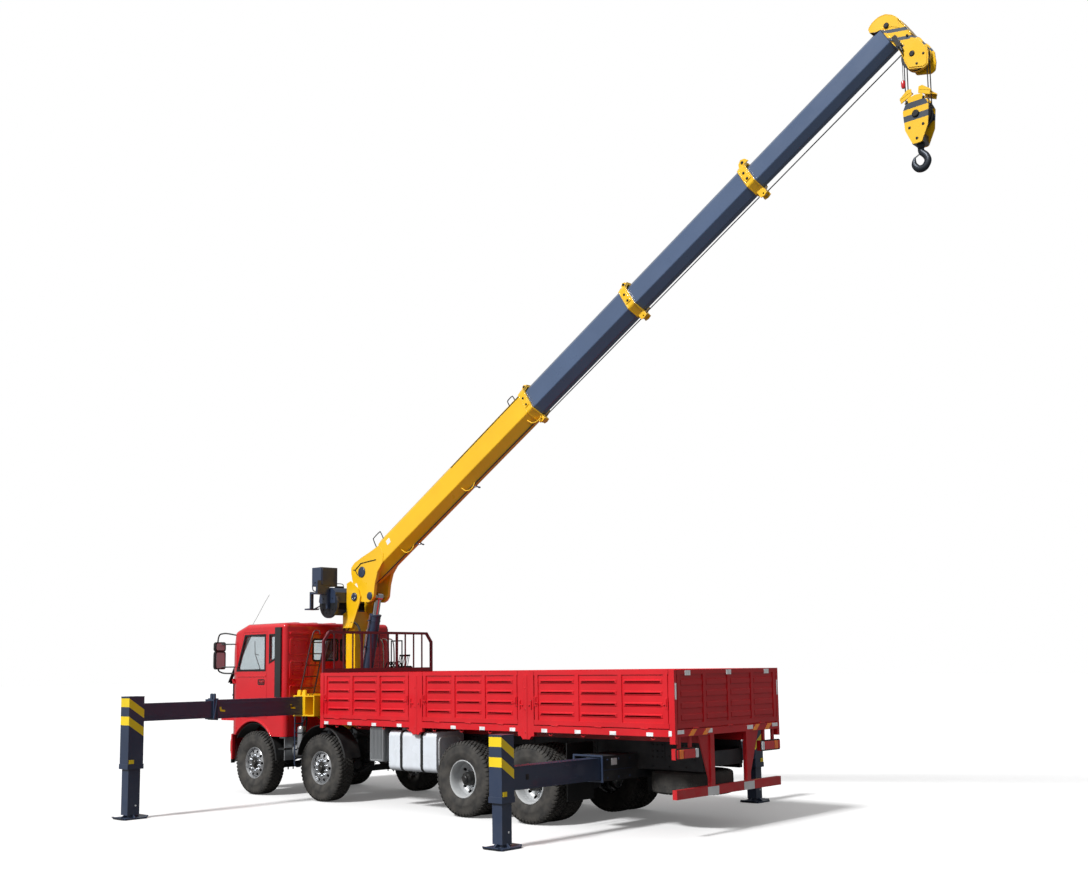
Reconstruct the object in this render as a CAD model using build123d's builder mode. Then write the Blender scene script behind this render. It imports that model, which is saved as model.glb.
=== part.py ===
from build123d import *
import os
from math import cos, radians, sin

# Frame: +X forward, +Y left, +Z up, millimetres, ground at zero.
# Stations below count from the first axle. Everything is moved by SHIFT_X on export.
SHIFT_X = 5812.2

# Running gap at seats, pins and runners
SEAT = 0.3

# Axles and wheels
AXLES_FRONT = (0.0, -1950.0)
AXLES_REAR = (-5450.0, -6800.0)
TYRE_R = 562.5
TYRE_W = 315.0
RIM_R = 262.0
FRONT_WHEEL_Y = 1040.0
REAR_WHEEL_Y = 900.0
TWIN_GAP = 350.0
KINGPIN_Y = 850.0
DIFF_R = 225.0

# Frame rails
RAIL_Y = 430.0
RAIL_T = 70.0
RAIL_Z0 = 800.0
RAIL_Z1 = 1100.0
RAIL_FRONT = 900.0
RAIL_REAR = -9300.0

# Cab
CAB_HALF = 1200.0
CAB_REAR = -930.0
CAB_NOSE = 1110.0
CAB_FLOOR = 1300.0
CAB_ROOF = 3050.0
CAB_WALL = 55.0
CAB_EDGE_R = 80.0
WINDOW_R = 45.0
GLASS_OUT = 20.0
GLASS_IN = 27.0
DOOR_REAR = -400.0
DOOR_FRONT = 640.0
DOOR_SILL = 1365.0
DOOR_HEAD = 2900.0
BELT_Z = 2170.0
HINGE_X = 645.0
HINGE_Y = 1212.0
DOOR_HINGES = (1560.0, 2020.0)
ARCH_R = 700.0
ARCH_Z = 600.0

# Bed
BED_FRONT = -2030.0
BED_REAR = -9430.0
BED_HALF = 1250.0
BED_TOP = 2160.0
HINGE_Z = 1400.0
FLOOR_Z = 1420.0
SILL_Z = 1300.0
SPARE_X = -8785.0
SPARE_Z = 630.0
PANEL_T = 45.0
POST_SPANS = ((-4600.0, -4290.0), (-6960.0, -6650.0))
CORNER_POST = 90.0
GAP = 6.0
HINGE_OUT = 6.0
KNUCKLE_R = 7.0

# Crane
SLEW_X = -1480.0
DECK_Z = 1840.0
PIVOT = (-1640.0, 3500.0)
RISE = 31.25
LUFF_BASE = (-1700.0, 1985.0)
LUFF_TOP = (-2040.0, 3500.0)
BARREL_LEN = 1215.0
BARREL_R = 98.0
ROD_R = 62.0
BOOM_FOOT_V = -20.0
FOOT_INNER = 132.0
SECTIONS = ((595.0, 380.0), (546.0, 336.0), (482.0, 292.0), (410.0, 244.0))
SECTION_STARTS = (1000.0, 4500.0, 6900.0, 9400.0)
SECTION_ENDS = (5200.0, 7610.0, 10080.0, 12480.0)
TUBE_WALL = 10.0
SLIDE_GAP = 6.0
BEND_R = 28.0
COLLAR_T = 22.0
FLAT_SHARE = 0.25
KNEE_SHARE = 0.57
PLATE_R = 34.0

# Outriggers
FRONT_BEAM_X = (-1420.0, -1720.0)
FRONT_BEAM_Z = (1450.0, 1750.0)
FRONT_BEAM_W = 220.0
FRONT_HOUSE_END = 1250.0
FRONT_STAGE_END = 3000.0
FRONT_LEG_Y = 4345.0
FRONT_LEG_TOP = 1840.0
FRONT_LEG_SPLIT = 750.0
REAR_BEAM_X = (-8080.0, -7820.0)
REAR_BEAM_Z = (700.0, 990.0)
REAR_BEAM_W = 190.0
REAR_HOUSE_END = 1240.0
REAR_LEG_Y = 3050.0
REAR_LEG_TOP = 1385.0
REAR_LEG_SPLIT = 560.0
REAR_JACK_TOP = 905.0

os.makedirs("parts", exist_ok=True)


def block(x0, x1, y0, y1, z0, z1, mode=Mode.ADD):
    with Locations(((x0 + x1) / 2, (y0 + y1) / 2, (z0 + z1) / 2)):
        Box(abs(x1 - x0), abs(y1 - y0), abs(z1 - z0), mode=mode)


def bar(radius, length, at, turn=(0, 0, 0), mode=Mode.ADD):
    with Locations(Location(at, turn)):
        Cylinder(radius, length, mode=mode)


def soft_block(x0, x1, y0, y1, z0, z1, radius):
    # a block with all its edges rounded
    with BuildPart(mode=Mode.PRIVATE) as cushion:
        block(x0, x1, y0, y1, z0, z1)
        fillet(cushion.edges(), radius)
    add(cushion.part)


def plate_xz(points, y0, y1, mode=Mode.ADD, corner=0.0):
    with BuildSketch(Plane(origin=(0, y1, 0), x_dir=(1, 0, 0), z_dir=(0, -1, 0))) as outline:
        with BuildLine():
            Polyline(*points, close=True)
        make_face()
        if corner:
            fillet(outline.vertices(), corner)
    extrude(outline.sketch, amount=y1 - y0, mode=mode)


def plate_yz(points, x0, x1, mode=Mode.ADD, corner=0.0):
    with BuildSketch(Plane(origin=(x0, 0, 0), x_dir=(0, 1, 0), z_dir=(1, 0, 0))) as outline:
        with BuildLine():
            Polyline(*points, close=True)
        make_face()
        if corner:
            fillet(outline.vertices(), corner)
    extrude(outline.sketch, amount=x1 - x0, mode=mode)


def ring_y(profile, x, z, mode=Mode.ADD):
    # profile is a list of (radius, y), turned about an axis along Y through (x, z)
    with BuildSketch(Plane(origin=(x, 0, z), x_dir=(1, 0, 0), z_dir=(0, 0, 1))) as outline:
        with BuildLine():
            Polyline(*profile, close=True)
        make_face()
    revolve(outline.sketch, axis=Axis((x, 0, z), (0, 1, 0)), mode=mode)


def rod_between(a, b, radius, mode=Mode.ADD):
    a = Vector(*a)
    b = Vector(*b)
    with BuildSketch(Plane(origin=a, z_dir=(b - a).normalized())) as outline:
        Circle(radius)
    extrude(outline.sketch, amount=(b - a).length, mode=mode)


def boom_point(u, v):
    # u runs along the boom from its pivot, v is square to it and upward
    a = radians(RISE)
    return (PIVOT[0] - u * cos(a) + v * sin(a), PIVOT[1] + u * sin(a) + v * cos(a))


def boom_plate(points, y0, y1, mode=Mode.ADD, corner=0.0):
    plate_xz([boom_point(u, v) for u, v in points], y0, y1, mode, corner)


def hex_outline(height, width):
    # six sides: upright flanks with bevelled top and bottom chords
    h = height / 2
    w = width / 2
    flat = w * FLAT_SHARE
    knee = h * KNEE_SHARE
    return [(-flat, h), (flat, h), (w, knee), (w, -knee), (flat, -h), (-flat, -h), (-w, -knee), (-w, knee)]


def section_floor(n):
    # underside of section n, each one slides on a pad inside the one before
    return BOOM_FOOT_V + n * (TUBE_WALL + SLIDE_GAP)


def boom_tube(u0, u1, n, grow, bend, mode=Mode.ADD):
    # the folded profile of section n, larger all round by grow, bend is the radius of its folds
    height = SECTIONS[n][0] + 2 * grow
    width = SECTIONS[n][1] + 2 * grow
    a = radians(RISE)
    x, z = boom_point(u0, section_floor(n) + SECTIONS[n][0] / 2)
    along = (-cos(a), 0, sin(a))
    with BuildSketch(Plane(origin=(x, 0, z), x_dir=(0, -1, 0), z_dir=along)) as outline:
        with BuildLine():
            Polyline(*hex_outline(height, width), close=True)
        make_face()
        fillet(outline.vertices(), bend)
    extrude(outline.sketch, amount=u1 - u0, mode=mode)


def save(name, part):
    export_step(Pos(SHIFT_X, 0, 0) * part, f"parts/{name}.step")


# Chassis frame with its cross members and the rear outrigger housing
with BuildPart() as chassis:
    for side in (-1, 1):
        y = side * RAIL_Y
        block(RAIL_REAR, RAIL_FRONT, y - RAIL_T / 2, y + RAIL_T / 2, RAIL_Z0, RAIL_Z1)
        inner = side * (RAIL_Y - 8)
        block(RAIL_REAR + 1, RAIL_FRONT - 1, inner - RAIL_T / 2, inner + RAIL_T / 2, RAIL_Z0 + 8, RAIL_Z1 - 8,
              mode=Mode.SUBTRACT)
        block(RAIL_REAR + 10, -1000, y - 35, y + 35, RAIL_Z1, 1180)
    for x in (840, -2900, -4300, -5450, -6125, -6800, -7500, -8700, -9270):
        block(x - 45, x + 45, -RAIL_Y - 27, RAIL_Y + 27, RAIL_Z0 + 60, RAIL_Z1 - 40)
    x_front = REAR_BEAM_X[1] + REAR_BEAM_W / 2 + 30
    x_back = REAR_BEAM_X[0] - REAR_BEAM_W / 2 - 30
    block(x_back, x_front, -REAR_HOUSE_END, REAR_HOUSE_END, REAR_BEAM_Z[0] - 22, REAR_BEAM_Z[1] + 22)
    for x in REAR_BEAM_X:
        block(x - REAR_BEAM_W / 2 - 6, x + REAR_BEAM_W / 2 + 6, -REAR_HOUSE_END - 1, REAR_HOUSE_END + 1,
              REAR_BEAM_Z[0] - SEAT, REAR_BEAM_Z[1] + 6, mode=Mode.SUBTRACT)
    for side in (-1, 1):
        edges = sorted((side * 400, side * 460))
        for x in (700, -800):
            block(x - 40, x + 40, edges[0], edges[1], RAIL_Z1 - 5, CAB_FLOOR - SEAT)
save("chassis_frame", chassis.part)

# Axles with leaf springs in front and bogie springs behind
with BuildPart() as axles:
    for x in AXLES_FRONT:
        block(x - 50, x + 50, -620, 620, 440, 540)
        for side in (-1, 1):
            plate_yz([(side * 600, 440), (side * 600, 540), (side * 790, TYRE_R + 69), (side * 790, TYRE_R - 62),
                      (side * 740, TYRE_R - 62)], x - 45, x + 45)
            bar(70, 140, (x, side * KINGPIN_Y, TYRE_R))
            bar(45 + SEAT, 200, (x, side * KINGPIN_Y, TYRE_R), mode=Mode.SUBTRACT)
            y = side * RAIL_Y
            plate_xz([(x - 700, 790), (x - 700, 760), (x - 80, 535), (x + 80, 535), (x + 700, 760),
                      (x + 700, 790), (x + 80, 620), (x - 80, 620)], y - 40, y + 40)
            for end in (-690, 690):
                block(x + end - 30, x + end + 30, y - 34, y + 34, 765, RAIL_Z0)
    for x in AXLES_REAR:
        bar(85, 1590, (x, 0, TYRE_R), (90, 0, 0))
        bar(95 - SEAT, 2150, (x, 0, TYRE_R), (90, 0, 0))
        block(x - 100, x + 100, -790, 790, TYRE_R - 100, TYRE_R + 100, mode=Mode.SUBTRACT)
        bar(85, 1590, (x, 0, TYRE_R), (90, 0, 0))
        with Locations((x, 0, TYRE_R)):
            Sphere(DIFF_R)
        for side in (-1, 1):
            y = side * RAIL_Y
            block(x - 90, x + 90, y - 50, y + 50, TYRE_R + 60, 690)
    x_mid = (AXLES_REAR[0] + AXLES_REAR[1]) / 2
    for side in (-1, 1):
        y = side * RAIL_Y
        plate_xz([(x_mid - 760, 660), (x_mid - 760, 700), (x_mid - 120, 780), (x_mid - 120, RAIL_Z0),
                  (x_mid + 120, RAIL_Z0), (x_mid + 120, 780), (x_mid + 760, 700), (x_mid + 760, 660),
                  (x_mid + 120, 640), (x_mid - 120, 640)], y - 42, y + 42)
save("axles", axles.part)

# Engine, gearbox and propeller shafts
with BuildPart() as powertrain:
    block(-650, 700, -330, 330, 850, 1130)
    block(-620, 660, -250, 250, 640, 900)
    block(-1250, -640, -190, 190, 700, 1050)
    for x, reach in ((300, 325), (-450, 325), (-1140, 185)):
        for side in (-1, 1):
            edges = sorted((side * reach, side * (RAIL_Y + 27 - SEAT)))
            block(x - 40, x + 40, edges[0], edges[1], 850, 930)
    gearbox = Vector(-1250, 0, 860)
    casing = Vector(AXLES_REAR[0], 0, TYRE_R)
    toward = (casing - gearbox).normalized()
    rod_between(tuple(gearbox), tuple(casing - toward * (DIFF_R + SEAT)), 55)
    rod_between((AXLES_REAR[0] - DIFF_R - SEAT, 0, TYRE_R), (AXLES_REAR[1] + DIFF_R + SEAT, 0, TYRE_R), 45)
save("powertrain", powertrain.part)

# Steering knuckles
for n, x in enumerate(AXLES_FRONT, 1):
    for name, side in (("left", 1), ("right", -1)):
        with BuildPart() as knuckle:
            y = side * KINGPIN_Y
            bar(45, 276, (x, y, TYRE_R))
            edges = sorted((y - side * 55, y + side * 96))
            block(x - 55, x + 55, edges[0], edges[1], TYRE_R + 70 + SEAT, TYRE_R + 138)
            block(x - 55, x + 55, edges[0], edges[1], TYRE_R - 138, TYRE_R - 70 - SEAT)
            edges = sorted((y + side * 74, y + side * 104))
            block(x - 55, x + 55, edges[0], edges[1], TYRE_R - 138, TYRE_R + 138)
            face = FRONT_WHEEL_Y + 20 - SEAT
            reach = face - KINGPIN_Y - 100
            bar(60, reach, (x, side * (face - reach / 2), TYRE_R), (90, 0, 0))
            bar(205, 80, (x, side * (KINGPIN_Y + 145), TYRE_R), (90, 0, 0))
            edges = sorted((y - side * 50, y))
            block(x - 215, x, edges[0], edges[1], TYRE_R - 138, TYRE_R - 100)
        save(f"knuckle_{n}_{name}", knuckle.part)


BEAD = 0.72
CROWN = 4.0
RIM_T = 16.0
HAND_HOLES = 10
HAND_HOLE_R = 26.0
HAND_HOLE_RING = 205.0


def tyre_section(y, plane):
    # half section of a tyre: bead, bulged wall, round shoulder, crowned tread
    w = TYRE_W / 2
    r = TYRE_R
    with BuildSketch(plane) as section:
        with BuildLine():
            Line((RIM_R, y + w * BEAD), (RIM_R, y - w * BEAD))
            ThreePointArc((RIM_R, y - w * BEAD), (r * 0.68, y - w), (r * 0.88, y - w * 0.96))
            ThreePointArc((r * 0.88, y - w * 0.96), (r * 0.96, y - w * 0.90), (r - CROWN, y - w * 0.78))
            ThreePointArc((r - CROWN, y - w * 0.78), (r, y), (r - CROWN, y + w * 0.78))
            ThreePointArc((r - CROWN, y + w * 0.78), (r * 0.96, y + w * 0.90), (r * 0.88, y + w * 0.96))
            ThreePointArc((r * 0.88, y + w * 0.96), (r * 0.68, y + w), (RIM_R, y + w * BEAD))
        make_face()
    return section.sketch


def tyre_ring(y, x):
    section = tyre_section(y, Plane(origin=(x, 0, TYRE_R), x_dir=(1, 0, 0), z_dir=(0, 0, 1)))
    revolve(section, axis=Axis((x, 0, TYRE_R), (0, 1, 0)))
    well = TYRE_W / 2 * BEAD
    ring_y([(RIM_R, y - well), (RIM_R, y + well), (RIM_R - RIM_T, y + well), (RIM_R - RIM_T, y - well)], x, TYRE_R)


def hand_holes(y0, y1, x):
    with BuildSketch(Plane(origin=(x, y1, TYRE_R), x_dir=(1, 0, 0), z_dir=(0, -1, 0))) as ring:
        with PolarLocations(HAND_HOLE_RING, HAND_HOLES):
            Circle(HAND_HOLE_R)
    extrude(ring.sketch, amount=y1 - y0, mode=Mode.SUBTRACT)


# Front wheels: shallow dished disc near the outer face
for n, x in enumerate(AXLES_FRONT, 1):
    for name, side in (("left", 1), ("right", -1)):
        y = side * FRONT_WHEEL_Y
        with BuildPart() as wheel:
            tyre_ring(y, x)
            ring_y([(0.0, y + side * 20), (0.0, y + side * 138), (90, y + side * 138), (104, y + side * 100),
                    (150, y + side * 104), (180, y + side * 106), (RIM_R - RIM_T + 1, y + side * 76),
                    (RIM_R - RIM_T + 1, y + side * 60), (180, y + side * 92), (110, y + side * 88),
                    (100, y + side * 20)], x, TYRE_R)
            edges = sorted((y + side * 40, y + side * 130))
            hand_holes(edges[0], edges[1], x)
        save(f"wheel_{n}_{name}", wheel.part)

# Rear twin wheels: deep dished outer disc
for n, x in enumerate(AXLES_REAR, 3):
    for name, side in (("left", 1), ("right", -1)):
        with BuildPart() as wheel:
            for offset in (-TWIN_GAP / 2, TWIN_GAP / 2):
                tyre_ring(side * (REAR_WHEEL_Y + offset), x)
            y = side * REAR_WHEEL_Y
            rim = RIM_R - RIM_T + 1
            ring_y([(95, y - side * 100), (95, y + side * 180), (130, y + side * 180), (130, y + side * 40),
                    (180, y + side * 30), (rim, y + side * 100), (rim, y + side * 70), (180, y + side * 4),
                    (180, y - side * 4), (rim, y - side * 70), (rim, y - side * 100), (180, y - side * 30),
                    (130, y - side * 40), (130, y - side * 100)], x, TYRE_R)
            edges = sorted((y - side * 120, y + side * 120))
            hand_holes(edges[0], edges[1], x)
        save(f"wheel_{n}_{name}", wheel.part)


def cab_body(inset):
    # side profile met by a plan with round front corners
    i = inset
    with BuildPart() as body:
        plate_xz([(CAB_REAR + i, 1050 - i), (CAB_REAR + i, CAB_ROOF - i), (250, CAB_ROOF - i),
                  (560 - i, CAB_ROOF - 100 - i), (1030 - i, 1960 + i * 0.4), (CAB_NOSE - i, 1860),
                  (CAB_NOSE - i, 1050 - i)], -CAB_HALF + i, CAB_HALF - i)
        with BuildSketch(Plane.XY.offset(1000)) as plan:
            with BuildLine():
                Polyline((CAB_REAR, -CAB_HALF + i), (CAB_REAR, CAB_HALF - i), (560, CAB_HALF - i))
                ThreePointArc((560, CAB_HALF - i), (940 - i, 960 - i), (CAB_NOSE - i, 480))
                Line((CAB_NOSE - i, 480), (CAB_NOSE - i, -480))
                ThreePointArc((CAB_NOSE - i, -480), (940 - i, -960 + i), (560, -CAB_HALF + i))
                Line((560, -CAB_HALF + i), (CAB_REAR, -CAB_HALF + i))
            make_face()
        extrude(plan.sketch, amount=2200, mode=Mode.INTERSECT)
        flank = CAB_HALF - i - 1
        rear = CAB_REAR + i + 1
        high = CAB_ROOF - 150
        soft = [e for e in body.edges() if e.center().Z > high and e.center().X < 520 and abs(e.center().Y) > flank]
        soft += [e for e in body.edges() if e.center().X < rear and (e.center().Z > high or abs(e.center().Y) > flank)]
        fillet(soft, CAB_EDGE_R - i)
    return body.part


def door_outline(shrink):
    g = shrink
    return [(DOOR_REAR + g, DOOR_SILL + g), (DOOR_FRONT - g, DOOR_SILL + g), (DOOR_FRONT - g, BELT_Z),
            (330 - g, DOOR_HEAD - g), (DOOR_REAR + g, DOOR_HEAD - g)]


def door_window(shrink):
    g = shrink
    return [(DOOR_REAR + 60 + g, BELT_Z + 50 + g), (DOOR_FRONT - 105 - g, BELT_Z + 50 + g),
            (275 - g, DOOR_HEAD - 60 - g), (DOOR_REAR + 60 + g, DOOR_HEAD - 60 - g)]


def quarter_window(shrink):
    g = shrink
    return [(-650 + g, 2420 + g), (-480 - g, 2360 + g), (-480 - g, 2840 - g), (-650 + g, 2840 - g)]


def front_window(shrink):
    g = shrink
    return [(-1020 + g, 2060 + g), (1020 - g, 2060 + g), (900 - g, 2860 - g), (-900 + g, 2860 - g)]


cab_outer = cab_body(0)
cab_inner = cab_body(CAB_WALL)
glass_outer = cab_body(GLASS_OUT)
glass_inner = cab_body(GLASS_IN)

# Cab shell with its floor, door openings and window openings
with BuildPart() as cab:
    add(cab_outer)
    add(cab_inner, mode=Mode.SUBTRACT)
    block(CAB_REAR + 30, CAB_NOSE - 30, -CAB_HALF + 30, CAB_HALF - 30, CAB_FLOOR, CAB_FLOOR + 50)
    bar(ARCH_R, 3000, (0, 0, ARCH_Z), (90, 0, 0), mode=Mode.SUBTRACT)
    block(CAB_REAR - 10, CAB_REAR + 80, -560, 560, 1000, 1200, mode=Mode.SUBTRACT)
    block(-620, CAB_NOSE - 120, -400, 400, CAB_FLOOR - 10, CAB_FLOOR + 60, mode=Mode.SUBTRACT)
    block(-640, CAB_NOSE - 100, -420, 420, CAB_FLOOR + 50, CAB_FLOOR + 250)
    block(-620, CAB_NOSE - 120, -400, 400, CAB_FLOOR - 10, CAB_FLOOR + 230, mode=Mode.SUBTRACT)
    plate_xz(door_outline(0), 900, 1400, mode=Mode.SUBTRACT)
    plate_xz(door_outline(0), -1400, -900, mode=Mode.SUBTRACT)
    plate_xz(quarter_window(0), -1400, 1400, mode=Mode.SUBTRACT, corner=WINDOW_R)
    plate_yz(front_window(0), 500, 1300, mode=Mode.SUBTRACT, corner=WINDOW_R)
    for side in (-1, 1):
        edges = sorted((side * 40, side * 580))
        block(CAB_REAR - 10, CAB_REAR + 70, edges[0], edges[1], 2380, 2750, mode=Mode.SUBTRACT)
    for side in (-1, 1):
        edges = sorted((side * 1155, side * HINGE_Y))
        for z in DOOR_HINGES:
            bar(11, 40, (HINGE_X, side * HINGE_Y, z + 20 + SEAT))
            block(HINGE_X, HINGE_X + 30, edges[0], edges[1], z + SEAT, z + 40 + SEAT)
save("cab_shell", cab.part)

# Fixed cab glass
with BuildPart() as cab_glass:
    add(glass_outer)
    add(glass_inner, mode=Mode.SUBTRACT)
    with BuildPart(mode=Mode.PRIVATE) as panes:
        plate_xz(quarter_window(SEAT), -1400, 1400, corner=WINDOW_R - SEAT)
        plate_yz(front_window(SEAT), 501, 1299, corner=WINDOW_R - SEAT)
        for side in (-1, 1):
            edges = sorted((side * (40 + SEAT), side * (580 - SEAT)))
            block(CAB_REAR - 9, CAB_REAR + 69, edges[0], edges[1], 2380 + SEAT, 2750 - SEAT)
    add(panes.part, mode=Mode.INTERSECT)
save("cab_glass", cab_glass.part)

# Doors and their glass
for name, side in (("left", 1), ("right", -1)):
    edges = sorted((side * 900, side * 1400))
    with BuildPart() as door:
        add(cab_outer)
        add(cab_inner, mode=Mode.SUBTRACT)
        with BuildPart(mode=Mode.PRIVATE) as leaf:
            plate_xz(door_outline(5), edges[0], edges[1])
        add(leaf.part, mode=Mode.INTERSECT)
        plate_xz(door_window(0), edges[0], edges[1], mode=Mode.SUBTRACT, corner=WINDOW_R)
        foot = sorted((side * 1155, side * HINGE_Y))
        crest = sorted((side * (CAB_HALF + 1), side * HINGE_Y))
        for z in DOOR_HINGES:
            bar(11, 40, (HINGE_X, side * HINGE_Y, z - 20))
            block(HINGE_X - 40, HINGE_X - 12, foot[0], foot[1], z - 40, z)
            block(HINGE_X - 40, HINGE_X, crest[0], crest[1], z - 40, z)
    save(f"door_{name}", door.part)
    with BuildPart() as pane:
        add(glass_outer)
        add(glass_inner, mode=Mode.SUBTRACT)
        with BuildPart(mode=Mode.PRIVATE) as leaf:
            plate_xz(door_window(SEAT), edges[0], edges[1], corner=WINDOW_R - SEAT)
        add(leaf.part, mode=Mode.INTERSECT)
    save(f"door_glass_{name}", pane.part)

# Seats, dashboard, bunk and steering column
WHEEL_TILT = 28.0
STEER = (470.0, 680.0, 2120.0)
with BuildPart() as interior:
    for y in (-680, 680):
        block(-300, 150, y - 190, y + 190, CAB_FLOOR + 50 + SEAT, 1710)
        soft_block(-330, 200, y - 240, y + 240, 1700, 1840, 45)
        plate_xz([(-330, 1790), (-210, 1790), (-310, 2540), (-430, 2540)], y - 230, y + 230, corner=40)
    block(560, 860, -860, 860, 1640, 2030)
    tilt = radians(WHEEL_TILT)
    near = 25 + SEAT
    rod_between((STEER[0] + near * sin(tilt), STEER[1], STEER[2] - near * cos(tilt)),
                (STEER[0] + 260 * sin(tilt), STEER[1], STEER[2] - 260 * cos(tilt)), 28)
    for y in (-850, 850):
        block(700, 860, y - 10, y + 10, CAB_FLOOR + 50 + SEAT, 1650)
    block(-860, -500, -1050, 1050, 1650, 1800)
    for y in (-1020, 1020):
        block(-860, -500, y - 30, y + 30, CAB_FLOOR + 50, 1650)
save("cab_interior", interior.part)

# Steering wheel, tilted back
with BuildPart() as steering:
    with Locations(Location(STEER, (0, -WHEEL_TILT, 0))):
        Torus(215, 16)
        Cylinder(60, 50)
        Box(420, 40, 16)
save("steering_wheel", steering.part)

# Bumper with corner skirts, mirrors and side deflectors
def bumper_plan(inset, rear):
    i = inset
    with BuildSketch(Plane.XY.offset(530)) as plan:
        with BuildLine():
            Polyline((rear, -CAB_HALF + 40 + i), (rear, CAB_HALF - 40 - i), (760, CAB_HALF - 40 - i))
            ThreePointArc((760, CAB_HALF - 40 - i), (1038 - 0.87 * i, 880 - 0.5 * i), (CAB_NOSE + 30 - i, 500))
            Line((CAB_NOSE + 30 - i, 500), (CAB_NOSE + 30 - i, -500))
            ThreePointArc((CAB_NOSE + 30 - i, -500), (1038 - 0.87 * i, -880 + 0.5 * i), (760, -CAB_HALF + 40 + i))
            Line((760, -CAB_HALF + 40 + i), (rear, -CAB_HALF + 40 + i))
        make_face()
    return plan.sketch


with BuildPart() as bumper:
    extrude(bumper_plan(0, 720), amount=520 - SEAT)
    extrude(bumper_plan(60, 700), amount=520, mode=Mode.SUBTRACT)
    block(900, 1000, -RAIL_Y - 35, -RAIL_Y + 35, 820, 1030)
    block(900, 1000, RAIL_Y - 35, RAIL_Y + 35, 820, 1030)
    block(1000, 1085, -RAIL_Y - 60, RAIL_Y + 60, 840, 1030)
    for side in (-1, 1):
        for z in (2280, 2700):
            a = (600, side * 1100, z)
            b = (900, side * 1330, z)
            rod_between(a, b, 12)
        edges = sorted((side * 1240, side * 1440))
        soft_block(880, 950, edges[0], edges[1], 2250, 2560, 28)
        soft_block(880, 950, edges[0], edges[1], 2580, 2730, 28)
        edges = sorted((side * (CAB_HALF + SEAT), side * 1235))
        block(CAB_REAR + CAB_EDGE_R, -680, edges[0], edges[1], 1740, CAB_ROOF - CAB_EDGE_R)
    add(cab_outer, mode=Mode.SUBTRACT)
save("cab_trim", bumper.part)

# Fuel tank with its brackets
with BuildPart() as tank:
    block(-4850, -3740, 600, 1185, 610, 1240)
    fillet(tank.edges().filter_by(Axis.X), 90)
    for x in (-4600, -3990):
        block(x - 30, x + 30, RAIL_Y + RAIL_T / 2, 640, 830, 1060)
save("fuel_tank", tank.part)

# Exhaust box, air reservoirs and battery box along the frame
with BuildPart() as equipment:
    soft_block(-3620, -3290, 600, 1190, 740, 1280, 18)
    block(-3560, -3350, RAIL_Y + RAIL_T / 2, 610, 850, 1000)
    for y in (620, 880):
        bar(118, 560, (-975, y, 800), (0, 90, 0))
    block(-1000, -940, RAIL_Y + RAIL_T / 2, 860, 850, 960)
    soft_block(-3100, -2600, -1180, -620, 680, 1160, 18)
    block(-2900, -2800, -640, -RAIL_Y - RAIL_T / 2, 850, 1000)
    for x in (-3700, -4500):
        bar(140, 700, (x, -830, 880), (0, 90, 0))
        block(x - 30, x + 30, -720, -RAIL_Y - RAIL_T / 2, 850, 960)
    for side in (-1, 1):
        edges = sorted((side * 890, side * 1140))
        block(-880, -860, edges[0], edges[1], 640, 1040)
        block(-870, -720, edges[0], edges[1], 1020, 1040)
        inner = sorted((side * (RAIL_Y + RAIL_T / 2), side * 900))
        block(-875, -865, inner[0], inner[1], 900, 1040)
save("side_equipment", equipment.part)

def panel_spans():
    spans = []
    front = BED_FRONT - CORNER_POST
    for x0, x1 in POST_SPANS:
        spans.append((x1 + GAP, front - GAP))
        front = x0
    spans.append((BED_REAR + CORNER_POST + GAP, front - GAP))
    return spans


def hinge_stations(low, high):
    return [low + (high - low) * k / 6 for k in (1, 3, 5)]


# Bed with floor, bearers, sills, posts and front wall
with BuildPart() as bed:
    block(BED_REAR + 55, BED_FRONT - 70, -1195, 1195, FLOOR_Z - 55, FLOOR_Z)
    block(BED_FRONT - 70, BED_FRONT, -BED_HALF, BED_HALF, SILL_Z, BED_TOP)
    for side in (-1, 1):
        edges = sorted((side * 1175, side * BED_HALF))
        block(BED_REAR, BED_FRONT, edges[0], edges[1], SILL_Z, HINGE_Z - 8)
        edges = sorted((side * 1196, side * BED_HALF))
        edges_in = sorted((side * 1160, side * 1196))
        for x0, x1 in POST_SPANS:
            block(x0, x1, edges[0], edges[1], 1240, BED_TOP)
            plate_xz([(x0, 1300), (x0 + 90, 1195), (x1 - 90, 1195), (x1, 1300)], edges[0], edges[1])
            block(x0 + 80, x1 - 80, edges_in[0], edges_in[1], 1240, FLOOR_Z - 20)
        block(BED_REAR, BED_REAR + CORNER_POST, edges[0], edges[1], 1210, BED_TOP)
        block(BED_FRONT - CORNER_POST, BED_FRONT, edges[0], edges[1], 1240, BED_TOP)
        y = side * RAIL_Y
        block(BED_REAR + 70, BED_FRONT, y - 45, y + 45, 1180 + SEAT, SILL_Z + 10)
    block(BED_REAR, BED_REAR + 70, -BED_HALF, BED_HALF, SILL_Z, HINGE_Z - 8)
    for n in range(14):
        x = BED_FRONT - 150 - n * 545
        block(x - 30, x + 30, -1190, 1190, SILL_Z, FLOOR_Z - 40)
    for x0, x1 in panel_spans():
        for side in (-1, 1):
            y = side * (BED_HALF + HINGE_OUT)
            edges = sorted((side * (BED_HALF - 10), y))
            for x in hinge_stations(x0, x1):
                bar(KNUCKLE_R, 60, (x - 30 - SEAT, y, HINGE_Z), (0, 90, 0))
                block(x - 60 - SEAT, x - SEAT, edges[0], edges[1], HINGE_Z - 16, HINGE_Z)
    for y in hinge_stations(-1190, 1190):
        bar(KNUCKLE_R, 60, (BED_REAR - HINGE_OUT, y - 30 - SEAT, HINGE_Z), (90, 0, 0))
        block(BED_REAR - HINGE_OUT, BED_REAR + 10, y - 60 - SEAT, y - SEAT, HINGE_Z - 16, HINGE_Z)
save("cargo_bed", bed.part)


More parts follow.
